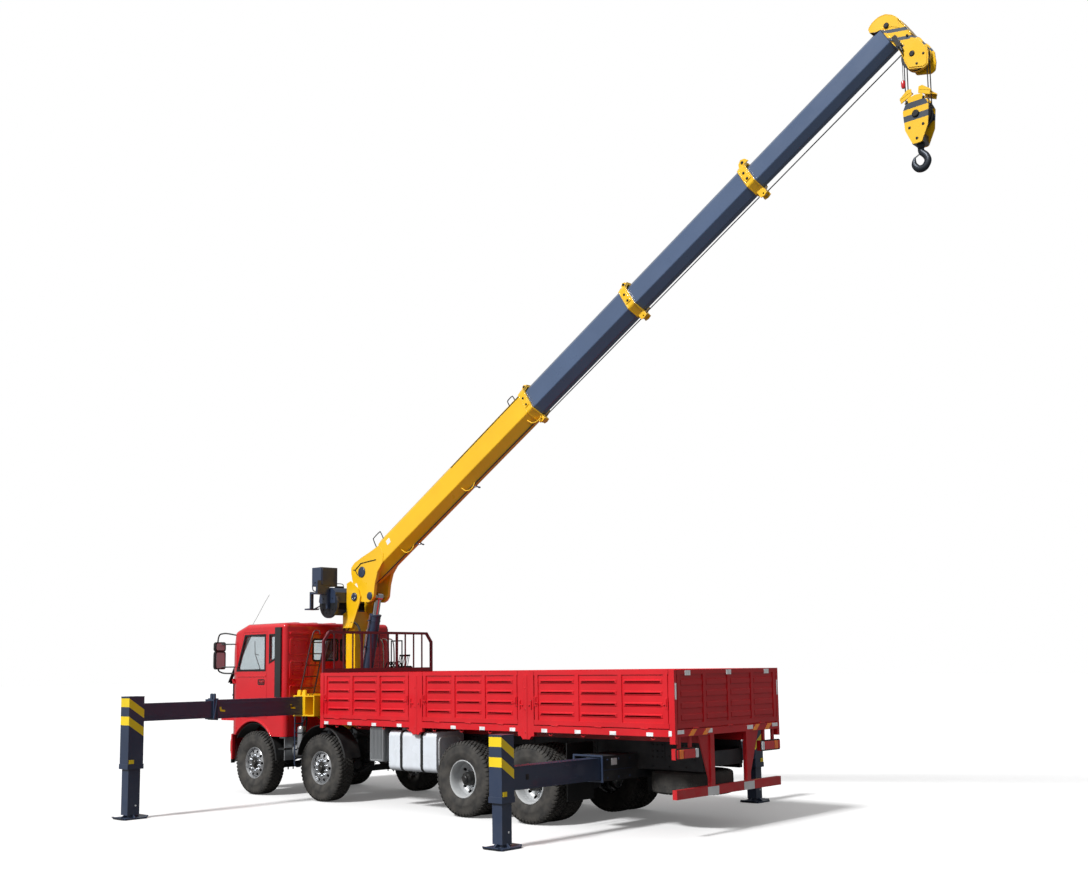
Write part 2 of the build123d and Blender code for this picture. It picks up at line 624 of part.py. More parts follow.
RIB_ROWS = 4
RIB_PITCH = 150.0
RIB_H = 60.0
RIB_OUT = 13.0
RIB_MID = 1785.0
UPRIGHT_W = 64.0


def pressed_ribs(face_plane, bay, count):
    # rows of tapered ribs pressed out of a sheet, on a plane at the sheet's middle
    with BuildSketch(face_plane) as rows:
        with GridLocations(bay, RIB_PITCH, count, RIB_ROWS):
            Rectangle(bay - UPRIGHT_W - 50, RIB_H)
    extrude(rows.sketch, amount=RIB_OUT, taper=42)


# Drop sides: a sheet with pressed ribs, uprights and a frame
for n, (x0, x1) in enumerate(panel_spans(), 1):
    for name, side in (("left", 1), ("right", -1)):
        with BuildPart() as panel:
            sheet = sorted((side * (BED_HALF - PANEL_T), side * (BED_HALF - 14)))
            block(x0, x1, sheet[0], sheet[1], HINGE_Z + 5, BED_TOP)
            face = sorted((side * (BED_HALF - 15), side * BED_HALF))
            block(x0, x1, face[0], face[1], BED_TOP - 60, BED_TOP)
            block(x0, x1, face[0], face[1], HINGE_Z + 5, HINGE_Z + 70)
            bay = (x1 - x0 - 90) / 3
            for k in range(4):
                x = x0 + 45 + bay * k
                block(x - UPRIGHT_W / 2, x + UPRIGHT_W / 2, face[0], face[1], HINGE_Z + 60, BED_TOP - 50)
            middle = ((x0 + x1) / 2, side * (BED_HALF - 15), RIB_MID)
            pressed_ribs(Plane(origin=middle, x_dir=(1, 0, 0), z_dir=(0, side, 0)), bay, 3)
            y = side * (BED_HALF + HINGE_OUT)
            edges = sorted((side * (BED_HALF - 5), y))
            for x in hinge_stations(x0, x1):
                bar(KNUCKLE_R, 60, (x + 30, y, HINGE_Z), (0, 90, 0))
                block(x, x + 60, edges[0], edges[1], HINGE_Z, HINGE_Z + 12)
        save(f"side_panel_{name}_{n}", panel.part)

with BuildPart() as tailgate:
    half = 1196 - GAP
    block(BED_REAR + 14, BED_REAR + PANEL_T, -half, half, HINGE_Z + 5, BED_TOP)
    block(BED_REAR, BED_REAR + 15, -half, half, BED_TOP - 60, BED_TOP)
    block(BED_REAR, BED_REAR + 15, -half, half, HINGE_Z + 5, HINGE_Z + 70)
    bay = (2 * half - 80) / 4
    for k in range(5):
        y = -half + 40 + bay * k
        block(BED_REAR, BED_REAR + 15, y - UPRIGHT_W / 2, y + UPRIGHT_W / 2, HINGE_Z + 60, BED_TOP - 50)
    pressed_ribs(Plane(origin=(BED_REAR + 15, 0, RIB_MID), x_dir=(0, -1, 0), z_dir=(-1, 0, 0)), bay, 4)
    for y in hinge_stations(-1190, 1190):
        bar(KNUCKLE_R, 60, (BED_REAR - HINGE_OUT, y + 30, HINGE_Z), (90, 0, 0))
        block(BED_REAR - HINGE_OUT, BED_REAR + 5, y, y + 60, HINGE_Z, HINGE_Z + 12)
save("tailgate", tailgate.part)

# Headboard guard standing on the front wall
with BuildPart() as headboard:
    x0 = BED_FRONT - 70
    x1 = BED_FRONT - 30
    plate_yz([(-BED_HALF, BED_TOP), (-BED_HALF, 2700), (-1120, 2870), (1120, 2870), (BED_HALF, 2700),
              (BED_HALF, BED_TOP)], x0, x1)
    plate_yz([(-BED_HALF + 45, BED_TOP + 70), (-BED_HALF + 45, 2682), (-1102, 2825), (1102, 2825),
              (BED_HALF - 45, 2682), (BED_HALF - 45, BED_TOP + 70)], x0 - 1, x1 + 1, mode=Mode.SUBTRACT)
    for k in range(11):
        y = -1000 + 200 * k
        w = 22 if k in (3, 7) else 9
        block(x0 + 8, x1 - 8, y - w, y + w, BED_TOP + 60, 2830)
save("headboard", headboard.part)

# Underrun bar with its posts, and tail lamps on brackets
with BuildPart() as underrun:
    block(BED_REAR, BED_REAR + 70, -1245, 1245, 510, 630)
    for side in (-1, 1):
        edges = sorted((side * 385, side * 475))
        block(BED_REAR, BED_REAR + 60, edges[0], edges[1], 620, SILL_Z - SEAT)
        plate_yz([(side * 400, 640), (side * 470, 640), (side * 720, SILL_Z - SEAT), (side * 400, SILL_Z - SEAT)],
                 BED_REAR + 20, BED_REAR + 40)
    for side in (-1, 1):
        edges = sorted((side * 760, side * 1240))
        block(BED_REAR + 5, BED_REAR + 75, edges[0], edges[1], 1010, 1150)
        for y in (side * 880, side * 1120):
            block(BED_REAR + 30, BED_REAR + 60, y - 25, y + 25, 1140, SILL_Z - SEAT)
save("underrun_bar", underrun.part)

# Spare wheel lying flat under the tail
with BuildPart() as spare:
    revolve(tyre_section(0, Plane.XZ), axis=Axis.Z)
    with BuildSketch(Plane.XZ) as section:
        with BuildLine():
            Polyline((0, 30), (RIM_R + 5, 30), (RIM_R + 5, -30), (0, -30), close=True)
        make_face()
    revolve(section.sketch, axis=Axis.Z)
spare_part = Pos(SPARE_X, 0, SPARE_Z) * spare.part
with BuildPart() as spare_wheel:
    add(spare_part)
    bar(25, 300, (SPARE_X, 0, SPARE_Z + 150))
    block(SPARE_X - 40, SPARE_X + 40, -RAIL_Y - 27 + SEAT, RAIL_Y + 27 - SEAT, RAIL_Z0 + 30, RAIL_Z0 + 80)
save("spare_wheel", spare_wheel.part)

# Crane base across the frame, with the two beam tunnels, control bank and ladder
with BuildPart() as crane_base:
    x1 = FRONT_BEAM_X[0] + FRONT_BEAM_W / 2 + 30
    x0 = FRONT_BEAM_X[1] - FRONT_BEAM_W / 2 - 30
    z0 = FRONT_BEAM_Z[0] - 25
    z1 = FRONT_BEAM_Z[1] + 25
    block(x0, x1, -FRONT_HOUSE_END, FRONT_HOUSE_END, z0, z1)
    for x in FRONT_BEAM_X:
        block(x - FRONT_BEAM_W / 2 - 6, x + FRONT_BEAM_W / 2 + 6, -FRONT_HOUSE_END - 1, FRONT_HOUSE_END + 1,
              z0 + 25 - SEAT, z1 - 19, mode=Mode.SUBTRACT)
    block(x0, x1, -500, 500, 1180 + SEAT, z0 + 1)
    bar(330, DECK_Z - z1 + 1, (SLEW_X, 0, (DECK_Z + z1 - 1) / 2))
    block(x0, x1 - 100, -1080, -700, z1 - 1, z1 + 60)
    block(x0 + 60, x1 - 160, -1020, -760, z1 + 50, 2250)
    for x in (x0 + 90, x1 - 190):
        bar(12, 500, (x, -790, 2480))
    bar(12, x1 - x0 - 280, ((x0 + x1 - 100) / 2, -790, 2720), (0, 90, 0))
    for offset in (0, 300):
        rod_between((-1000, 920 - offset, 1780), (-1000, 660 - offset, 2800), 14)
    for k in range(5):
        t = k / 5 + 0.1
        y = 920 - 260 * t
        rod_between((-1000, y, 1790 + 1010 * t), (-1000, y - 300, 1790 + 1010 * t), 10)
    block(-1290, -985, 600, 930, 1735, 1790)
save("crane_base", crane_base.part)

# Slewing column with its fork
with BuildPart() as column:
    bar(310, 60, (SLEW_X, 0, DECK_Z + 30 + SEAT))
    block(-1565, -1310, -140, 140, DECK_Z + 50, 3240)
    for side in (-1, 1):
        edges = sorted((side * 196, side * 216))
        plate_xz([(-1310, 2950), (-1565, 2950), (-1780, 3390), (-1800, 3500), (-1740, 3640), (-1520, 3790),
                  (-1415, 3750), (-1415, 3240), (-1310, 3200)], edges[0], edges[1], corner=22)
        edges = sorted((side * 62, side * 92))
        plate_xz([(-1560, 1890), (-1790, 1890), (-1790, 2010), (-1750, 2028), (-1560, 2028)], edges[0], edges[1])
    block(-1565, -1310, -216, 216, 2950, 3200)
    bar(55, 432, (PIVOT[0], 0, PIVOT[1]), (90, 0, 0))
    bar(34, 184, (LUFF_BASE[0], 0, LUFF_BASE[1]), (90, 0, 0))
save("slew_column", column.part)

# Winch drum with side flanges under a cover
WINCH = (-1185.0, 3385.0)
with BuildPart() as winch:
    bar(150, 700, (WINCH[0], 30, WINCH[1]), (90, 0, 0))
    for y in (-330, 390):
        bar(225, 24, (WINCH[0], y, WINCH[1]), (90, 0, 0))
    bar(255, 40, (WINCH[0], 430, WINCH[1]), (90, 0, 0))
    plate_xz([(-1402, 3400), (-1402, 3590), (-1345, 3640), (-1295, 3675), (-1050, 3675), (-950, 3590),
              (-920, 3430), (-960, 3400)], -395, 460, corner=14)
    plate_xz([(-1392, 3390), (-1392, 3582), (-1340, 3630), (-1292, 3662), (-1055, 3662), (-960, 3584),
              (-932, 3430), (-980, 3390)], -385, 405, mode=Mode.SUBTRACT)
    block(-1310 + SEAT, -1280, -380, 400, 3180, 3410)
    block(-1310 + SEAT, -1180, -340, -318, 3180, 3410)
save("winch", winch.part)

# Operator seat box on its bracket
with BuildPart() as seat:
    block(-1250, -980, 300, 660, 3700, 4040)
    block(-1250, -1200, 470, 740, 3560, 3800)
    block(-1250, -1200, 460 + SEAT, 520, 3300, 3600)
    block(-1230, -1020, 470, 740, 3560, 3590)
    block(-1060, -1020, 680, 740, 3300, 3600)
    block(-1060, -900, 560, 760, 3280, 3305)
save("operator_seat", seat.part)

# Luffing cylinder
luff_dir = Vector(LUFF_TOP[0] - LUFF_BASE[0], 0, LUFF_TOP[1] - LUFF_BASE[1]).normalized()
luff_base = Vector(LUFF_BASE[0], 0, LUFF_BASE[1])
luff_top = Vector(LUFF_TOP[0], 0, LUFF_TOP[1])
with BuildPart() as barrel:
    rod_between(tuple(luff_base + luff_dir * 75), tuple(luff_base + luff_dir * BARREL_LEN), BARREL_R)
    bar(75, 112, tuple(luff_base), (90, 0, 0))
    bar(34 + SEAT, 200, tuple(luff_base), (90, 0, 0), mode=Mode.SUBTRACT)
    rod_between(tuple(luff_base + luff_dir * 130), tuple(luff_base + luff_dir * (BARREL_LEN + 1)), ROD_R + 8,
                mode=Mode.SUBTRACT)
save("luff_barrel", barrel.part)
with BuildPart() as rod:
    rod_between(tuple(luff_top - luff_dir * 1200), tuple(luff_top - luff_dir * 60), ROD_R)
    bar(78, 110, tuple(luff_top), (90, 0, 0))
    bar(37, 2 * (FOOT_INNER - SEAT), tuple(luff_top), (90, 0, 0))
save("luff_rod", rod.part)


def collar(n):
    # raised ring at the mouth of section n, with a rope guide below
    u1 = SECTION_ENDS[n]
    low = section_floor(n)
    boom_tube(u1 - 130, u1, n, COLLAR_T, BEND_R + COLLAR_T)
    boom_plate([(u1 - 60, low - 10), (u1 - 100, low - 95), (u1 + 20, low - 95), (u1, low - 10)], -45, 45, corner=16)
    boom_tube(u1 - 131, u1 + 1, n, -TUBE_WALL, BEND_R - TUBE_WALL, mode=Mode.SUBTRACT)


def wear_pad(n):
    # slider under the next section at the mouth of section n
    floor = section_floor(n) + TUBE_WALL
    under = section_floor(n + 1)
    u1 = SECTION_ENDS[n]
    boom_plate([(u1 - 120, floor - 1), (u1 - 120, under - SEAT), (u1 - 5, under - SEAT), (u1 - 5, floor - 1)],
               -50, 50)


# Boom base with its deep foot
FOOT_START = 480.0
with BuildPart() as base_boom:
    boom_tube(FOOT_START, SECTION_ENDS[0], 0, 0, BEND_R)
    boom_plate([(FOOT_START - 10, 300), (FOOT_START - 10, 700), (SECTION_STARTS[0], 700), (SECTION_STARTS[0], 300)],
               -200, 200, mode=Mode.SUBTRACT)
    collar(0)
    crown = [(110, 430), (160, 520), (280, 546), (500, 514), (800, 454), (1030, 420)]
    for side in (-1, 1):
        edges = sorted((side * FOOT_INNER, side * 190))
        boom_plate([(-130, -60), (-130, 60), (28, 128)] + crown + [(1040, 230), (950, 100), (720, 30), (560, -100),
                    (420, -270), (340, -296), (250, -280), (60, -140)], edges[0], edges[1], corner=PLATE_R)
    boom_plate(crown + [(u, v - 14) for u, v in reversed(crown)], -140, 140)
    boom_tube(SECTION_STARTS[0] + 300, SECTION_ENDS[0] + 200, 0, -TUBE_WALL, BEND_R - TUBE_WALL, mode=Mode.SUBTRACT)
    bar(55 + SEAT, 600, (PIVOT[0], 0, PIVOT[1]), (90, 0, 0), mode=Mode.SUBTRACT)
    wear_pad(0)
save("boom_base", base_boom.part)

for n in (1, 2, 3):
    with BuildPart() as section:
        boom_tube(SECTION_STARTS[n], SECTION_ENDS[n], n, 0, BEND_R)
        if n < 3:
            collar(n)
        boom_tube(SECTION_STARTS[n] - 1, SECTION_ENDS[n] + 1, n, -TUBE_WALL, BEND_R - TUBE_WALL, mode=Mode.SUBTRACT)
        if n < 3:
            wear_pad(n)
    save(f"boom_section_{n + 1}", section.part)

HEAD_SHEAVE = (12580.0, -262.0)
TOP_SHEAVE = (12560.0, 330.0)
SHEAVE_R = 160.0
TOP_SHEAVE_R = 90.0
SHEAVE_W = 52.0
HUB_SHARE = 0.42
GROOVE = 12.0
ROPE_R = 7.0


def sheave_profile(y, radius):
    # a grooved rope sheave between hub and rim
    w = SHEAVE_W / 2
    hub = radius * HUB_SHARE
    return [(0, y - w), (hub, y - w), (hub + 8, y - w + 12), (radius - 40, y - w + 12), (radius - 28, y - w),
            (radius + GROOVE, y - w), (radius + GROOVE, y - w + 6), (radius, y - ROPE_R), (radius, y + ROPE_R),
            (radius + GROOVE, y + w - 6), (radius + GROOVE, y + w), (radius - 28, y + w), (radius - 40, y + w - 12),
            (hub + 8, y + w - 12), (hub, y + w), (0, y + w)]


# Boom head with its sheaves and the guard over them
with BuildPart() as head:
    start = SECTION_ENDS[3] + SEAT
    for side in (-1, 1):
        edges = sorted((side * 100, side * 118))
        boom_plate([(start, 60), (start, 500), (12560, 520), (12640, 470), (12695, 370), (12712, 140), (12712, -60),
                    (12766, -170), (12766, -330), (12705, -455), (12640, -535), (12580, -530), (12436, -385),
                    (12490, -90)], edges[0], edges[1], corner=36)
    boom_tube(start, start + 24, 3, COLLAR_T, BEND_R + COLLAR_T)
    dome = [(12372, 452), (12380, 492), (12450, 514), (12540, 506), (12620, 458), (12672, 380), (12700, 280),
            (12706, 140), (12706, 0)]
    boom_plate(dome + [(u - 12 * t, v - 11 * (1 - t)) for (u, v), t in zip(reversed(dome), (1, 1, 0.9, 0.8, 0.6, 0.4,
               0.1, 0, 0))], -109, 109)
    x, z = boom_point(*HEAD_SHEAVE)
    for y in (-40, 40):
        ring_y(sheave_profile(y, SHEAVE_R), x, z)
    bar(40, 236, (x, 0, z), (90, 0, 0))
    x, z = boom_point(*TOP_SHEAVE)
    ring_y(sheave_profile(0, TOP_SHEAVE_R), x, z)
    bar(35, 236, (x, 0, z), (90, 0, 0))
save("boom_head", head.part)

# Hook block and hook
ROPE_X = 150.0
HOOK_BOWL_R = 62.0
HOOK_BACK_R = 125.0
HOOK_T = 60.0
HOOK_X, HOOK_Z = boom_point(*HEAD_SHEAVE)
with BuildPart() as hook_block:
    top = HOOK_Z - 540
    for side in (-1, 1):
        edges = sorted((side * 88, side * 104))
        plate_xz([(HOOK_X - 90, top), (HOOK_X + 90, top), (HOOK_X + 170, top - 170), (HOOK_X + 150, top - 420),
                  (HOOK_X + 60, top - 620), (HOOK_X - 60, top - 620), (HOOK_X - 150, top - 420),
                  (HOOK_X - 170, top - 170)], edges[0], edges[1], corner=PLATE_R)
    for y in (-40, 40):
        ring_y(sheave_profile(y, ROPE_X - ROPE_R - SEAT), HOOK_X, top - 240)
    bar(30, 208, (HOOK_X, 0, top - 240), (90, 0, 0))
    block(HOOK_X - 70, HOOK_X + 70, -90, 90, top - 615, top - 500)
    upper = HOOK_Z - ((SHEAVE_R + SEAT) ** 2 - (ROPE_X - ROPE_R) ** 2) ** 0.5
    lower = top - 240
    for side in (-1, 1):
        for y in (-40, 40):
            bar(ROPE_R, upper - lower, (HOOK_X + side * ROPE_X, y, (upper + lower) / 2))
    bar(38 + SEAT, 140, (HOOK_X, 0, top - 580), mode=Mode.SUBTRACT)
save("hook_block", hook_block.part)

with BuildPart() as hook:
    z = HOOK_Z - 540 - 620
    bar(38, 150, (HOOK_X, 0, z - 11))
    with BuildSketch(Plane(origin=(HOOK_X, -HOOK_T / 2, z), x_dir=(1, 0, 0), z_dir=(0, 1, 0))) as shape:
        with Locations((-6, 215)):
            Circle(HOOK_BACK_R)
        with BuildLine():
            Polyline((-38, 50), (38, 50), (40, 130), (-20, 180), (-90, 160), close=True)
        make_face()
        with Locations((0, 205)):
            Circle(HOOK_BOWL_R, mode=Mode.SUBTRACT)
        with BuildLine():
            Polyline((0, 205), (38, 130), (44, 40), (220, 40), (220, 120), (64, 200), close=True)
        make_face(mode=Mode.SUBTRACT)
    extrude(shape.sketch, amount=HOOK_T)
    chamfer([e for e in hook.edges() if e.geom_type == GeomType.CIRCLE and e.center().Z < z - 100], 13)
save("hook", hook.part)

# Front outriggers: two stages, a leg tube and a jack on each side
BEAM_WALL = 12.0
ARM_WALL = 14.0
for name, side, x in (("left", 1, FRONT_BEAM_X[0]), ("right", -1, FRONT_BEAM_X[1])):
    w = FRONT_BEAM_W / 2
    z0, z1 = FRONT_BEAM_Z
    with BuildPart() as stage:
        edges = sorted((side * 760, side * FRONT_STAGE_END))
        block(x - w, x + w, edges[0], edges[1], z0, z1)
        edges = sorted((side * 2920, side * FRONT_STAGE_END))
        block(x - w - 16, x + w + 16, edges[0], edges[1], z0 - 12, z1 + 12)
        edges = sorted((side * 700, side * (FRONT_STAGE_END + 1)))
        block(x - w + BEAM_WALL, x + w - BEAM_WALL, edges[0], edges[1], z0 + BEAM_WALL, z1 - BEAM_WALL,
              mode=Mode.SUBTRACT)
    save(f"outrigger_front_{name}_stage", stage.part)
    with BuildPart() as leg:
        edges = sorted((side * 2300, side * (FRONT_LEG_Y - 100)))
        inset = BEAM_WALL + 6
        block(x - w + inset, x + w - inset, edges[0], edges[1], z0 + BEAM_WALL + SEAT, z1 - inset)
        edges = sorted((side * 2290, side * (FRONT_LEG_Y - 130)))
        block(x - w + inset + ARM_WALL, x + w - inset - ARM_WALL, edges[0], edges[1],
              z0 + BEAM_WALL + SEAT + ARM_WALL, z1 - inset - ARM_WALL, mode=Mode.SUBTRACT)
        block(x - 125, x + 125, side * FRONT_LEG_Y - 125, side * FRONT_LEG_Y + 125, FRONT_LEG_SPLIT,
              FRONT_LEG_TOP)
        block(x - 108, x + 108, side * FRONT_LEG_Y - 108, side * FRONT_LEG_Y + 108, FRONT_LEG_SPLIT - 1,
              FRONT_LEG_TOP - 14, mode=Mode.SUBTRACT)
    save(f"outrigger_front_{name}_leg", leg.part)
    with BuildPart() as jack:
        block(x - 98, x + 98, side * FRONT_LEG_Y - 98, side * FRONT_LEG_Y + 98, 60, 1150)
        block(x - 84, x + 84, side * FRONT_LEG_Y - 84, side * FRONT_LEG_Y + 84, 80, 1151, mode=Mode.SUBTRACT)
        block(x - 108 + SEAT, x + 108 - SEAT, side * FRONT_LEG_Y - 100, side * FRONT_LEG_Y + 100, 1100, 1150)
        block(x - 84, x + 84, side * FRONT_LEG_Y - 84, side * FRONT_LEG_Y + 84, 1090, 1151, mode=Mode.SUBTRACT)
        bar(60, 60, (x, side * FRONT_LEG_Y, 45))
        block(x - 180, x + 180, side * FRONT_LEG_Y - 180, side * FRONT_LEG_Y + 180, 0, 25)
    save(f"outrigger_front_{name}_jack", jack.part)

# Rear outriggers: one beam with a leg tube, and a jack, on each side
for name, side, x in (("left", 1, REAR_BEAM_X[0]), ("right", -1, REAR_BEAM_X[1])):
    w = REAR_BEAM_W / 2
    z0, z1 = REAR_BEAM_Z
    with BuildPart() as leg:
        edges = sorted((side * 740, side * (REAR_LEG_Y - 100)))
        block(x - w, x + w, edges[0], edges[1], z0, z1)
        edges = sorted((side * 730, side * (REAR_LEG_Y - 115)))
        block(x - w + ARM_WALL, x + w - ARM_WALL, edges[0], edges[1], z0 + ARM_WALL, z1 - ARM_WALL,
              mode=Mode.SUBTRACT)
        block(x - 110, x + 110, side * REAR_LEG_Y - 110, side * REAR_LEG_Y + 110, REAR_LEG_SPLIT, REAR_LEG_TOP)
        block(x - 94, x + 94, side * REAR_LEG_Y - 94, side * REAR_LEG_Y + 94, REAR_LEG_SPLIT - 1,
              REAR_LEG_TOP - 14, mode=Mode.SUBTRACT)
    save(f"outrigger_rear_{name}_leg", leg.part)
    with BuildPart() as jack:
        block(x - 85, x + 85, side * REAR_LEG_Y - 85, side * REAR_LEG_Y + 85, 60, REAR_JACK_TOP)
        block(x - 73, x + 73, side * REAR_LEG_Y - 73, side * REAR_LEG_Y + 73, 80,
              REAR_JACK_TOP + 1, mode=Mode.SUBTRACT)
        block(x - 94 + SEAT, x + 94 - SEAT, side * REAR_LEG_Y - 88, side * REAR_LEG_Y + 88,
              REAR_JACK_TOP - 50, REAR_JACK_TOP)
        block(x - 73, x + 73, side * REAR_LEG_Y - 73, side * REAR_LEG_Y + 73,
              REAR_JACK_TOP - 60, REAR_JACK_TOP + 1, mode=Mode.SUBTRACT)
        bar(55, 60, (x, side * REAR_LEG_Y, 45))
        block(x - 170, x + 170, side * REAR_LEG_Y - 170, side * REAR_LEG_Y + 170, 0, 25)
    save(f"outrigger_rear_{name}_jack", jack.part)
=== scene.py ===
"""Looks of a truck-mounted crane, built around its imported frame.

Stations are metres in the truck's own frame: X from the first axle and positive to the front,
Y to the left, Z up from the ground. make() and pipe() move them by AXLE_X into the model's frame.
"""
import math

import bmesh
import bpy
from mathutils import Matrix, Vector


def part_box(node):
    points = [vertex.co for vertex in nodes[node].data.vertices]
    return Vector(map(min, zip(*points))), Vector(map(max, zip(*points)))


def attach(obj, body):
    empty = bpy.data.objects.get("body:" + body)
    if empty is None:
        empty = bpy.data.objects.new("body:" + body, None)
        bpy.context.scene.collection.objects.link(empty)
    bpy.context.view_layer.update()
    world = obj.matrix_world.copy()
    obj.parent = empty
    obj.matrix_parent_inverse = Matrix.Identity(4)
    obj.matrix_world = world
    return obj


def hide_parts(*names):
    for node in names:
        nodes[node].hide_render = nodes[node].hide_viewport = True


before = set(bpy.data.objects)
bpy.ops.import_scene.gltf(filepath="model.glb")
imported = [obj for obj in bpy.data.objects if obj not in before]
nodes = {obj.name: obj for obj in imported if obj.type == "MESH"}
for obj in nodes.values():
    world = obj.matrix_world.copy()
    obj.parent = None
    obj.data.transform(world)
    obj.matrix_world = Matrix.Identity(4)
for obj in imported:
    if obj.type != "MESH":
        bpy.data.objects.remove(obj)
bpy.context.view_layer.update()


def centre(node):
    low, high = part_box(node)
    return (low + high) / 2


# Stations read from the frame
AXLE_X = centre("wheel_1_left").x
AXLES = [centre(f"wheel_{n}_left").x - AXLE_X for n in (1, 2, 3, 4)]
SINGLE_Y = centre("wheel_1_left").y
TWIN_Y = centre("wheel_3_left").y
HUB_Z = centre("wheel_1_left").z
SIDES = (("left", 1), ("right", -1))


def span(node, axis):
    """Lowest and highest station of a node along an axis."""
    low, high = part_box(node)
    move = AXLE_X if axis == 0 else 0.0
    return low[axis] - move, high[axis] - move


# Camera, at the photograph's viewing angle
VIEW_WIDTH = 1088
CAMERA_AT = (-18.7623, 13.921, 2.2413)
CAMERA_YAW = math.radians(-47.631)
CAMERA_PITCH = math.radians(6.5)
CAMERA_ROLL = math.radians(-0.7501)
FOCAL_PIXELS = 1208.22
SHIFT_PIXELS = 81.4
SENSOR = 36.0


def place_camera():
    ahead = Vector((math.cos(CAMERA_YAW) * math.cos(CAMERA_PITCH),
                    math.sin(CAMERA_YAW) * math.cos(CAMERA_PITCH), math.sin(CAMERA_PITCH)))
    right = Vector((math.sin(CAMERA_YAW), -math.cos(CAMERA_YAW), 0))
    up = right.cross(ahead)
    turned = right * math.cos(CAMERA_ROLL) + up * math.sin(CAMERA_ROLL)
    raised = up * math.cos(CAMERA_ROLL) - right * math.sin(CAMERA_ROLL)
    data = bpy.data.cameras.new("camera")
    data.sensor_width = SENSOR
    data.lens = FOCAL_PIXELS / VIEW_WIDTH * SENSOR
    data.shift_y = SHIFT_PIXELS / VIEW_WIDTH
    data.clip_end = 400
    camera = bpy.data.objects.new("camera", data)
    bpy.context.scene.collection.objects.link(camera)
    turn = Matrix((turned, raised, -ahead)).transposed().to_4x4()
    camera.matrix_world = Matrix.Translation(Vector(CAMERA_AT) + Vector((AXLE_X, 0, 0))) @ turn
    bpy.context.scene.camera = camera


# Light: a soft sun over the truck's left side, a pale sky and a white background
SUN_TOWARD = (-0.02, -0.80, -0.74)
SUN_POWER = 3.7
SUN_ANGLE = math.radians(9)
SKY_TOWARD = (0.20, 0.55, 0.81)
SKY_DIM = 0.16
SKY_POWER = 0.62
FLOOR_SHADE = 0.80
FLOOR_BOUNCE = 0.16
FLOOR_GLOW = 0.12


def place_light():
    data = bpy.data.lights.new("sun", "SUN")
    data.energy = SUN_POWER
    data.angle = SUN_ANGLE
    sun = bpy.data.objects.new("sun", data)
    sun.rotation_mode = "QUATERNION"
    sun.rotation_quaternion = Vector(SUN_TOWARD).to_track_quat("-Z", "Y")
    bpy.context.scene.collection.objects.link(sun)
    world = bpy.data.worlds.new("studio")
    bpy.context.scene.world = world
    world.use_nodes = True
    tree = world.node_tree
    tree.nodes.clear()
    path = tree.nodes.new("ShaderNodeLightPath")
    seen = tree.nodes.new("ShaderNodeMath")
    seen.operation = "MAXIMUM"
    tree.links.new(path.outputs["Is Camera Ray"], seen.inputs[0])
    tree.links.new(path.outputs["Is Transmission Ray"], seen.inputs[1])
    where = tree.nodes.new("ShaderNodeTexCoord")
    turn = tree.nodes.new("ShaderNodeVectorMath")
    turn.operation = "DOT_PRODUCT"
    turn.inputs[1].default_value = SKY_TOWARD
    tree.links.new(where.outputs["Generated"], turn.inputs[0])
    dome = tree.nodes.new("ShaderNodeMapRange")
    for key, number in (("From Min", -0.4), ("From Max", 1.0), ("To Min", SKY_DIM), ("To Max", SKY_POWER)):
        dome.inputs[key].default_value = number
    tree.links.new(turn.outputs["Value"], dome.inputs["Value"])
    power = tree.nodes.new("ShaderNodeMapRange")
    power.inputs["To Max"].default_value = 1.0
    tree.links.new(dome.outputs[0], power.inputs["To Min"])
    tree.links.new(seen.outputs[0], power.inputs["Value"])
    sky = tree.nodes.new("ShaderNodeBackground")
    sky.inputs["Color"].default_value = (1, 1, 1, 1)
    tree.links.new(power.outputs[0], sky.inputs["Strength"])
    output = tree.nodes.new("ShaderNodeOutputWorld")
    tree.links.new(sky.outputs[0], output.inputs[0])


def place_floor():
    mesh = bpy.data.meshes.new("floor")
    reach = 160.0
    mesh.from_pydata([(-reach, -reach, 0), (reach, -reach, 0), (reach, reach, 0), (-reach, reach, 0)],
                     [], [(0, 1, 2, 3)])
    floor = bpy.data.objects.new("floor", mesh)
    bpy.context.scene.collection.objects.link(floor)
    surface = bpy.data.materials.new("studio_floor")
    surface.use_nodes = True
    tree = surface.node_tree
    tree.nodes.clear()
    cloth = tree.nodes.new("ShaderNodeBsdfDiffuse")
    glow = tree.nodes.new("ShaderNodeEmission")
    glow.inputs["Color"].default_value = (1, 1, 1, 1)
    path = tree.nodes.new("ShaderNodeLightPath")
    amount = tree.nodes.new("ShaderNodeMath")
    amount.operation = "MULTIPLY"
    amount.inputs[1].default_value = FLOOR_GLOW
    tree.links.new(path.outputs["Is Camera Ray"], amount.inputs[0])
    tree.links.new(amount.outputs[0], glow.inputs["Strength"])
    shade = tree.nodes.new("ShaderNodeMapRange")
    shade.inputs["To Min"].default_value = FLOOR_BOUNCE
    shade.inputs["To Max"].default_value = FLOOR_SHADE
    tree.links.new(path.outputs["Is Camera Ray"], shade.inputs["Value"])
    tree.links.new(shade.outputs[0], cloth.inputs["Color"])
    both = tree.nodes.new("ShaderNodeAddShader")
    tree.links.new(cloth.outputs[0], both.inputs[0])
    tree.links.new(glow.outputs[0], both.inputs[1])
    output = tree.nodes.new("ShaderNodeOutputMaterial")
    tree.links.new(both.outputs[0], output.inputs[0])
    mesh.materials.append(surface)


# Materials
def linear(code):
    """The linear colour of a hexadecimal screen colour."""
    values = [int(code[i:i + 2], 16) / 255 for i in (1, 3, 5)]
    return tuple(v / 12.92 if v <= 0.04045 else ((v + 0.055) / 1.055) ** 2.4 for v in values) + (1.0,)


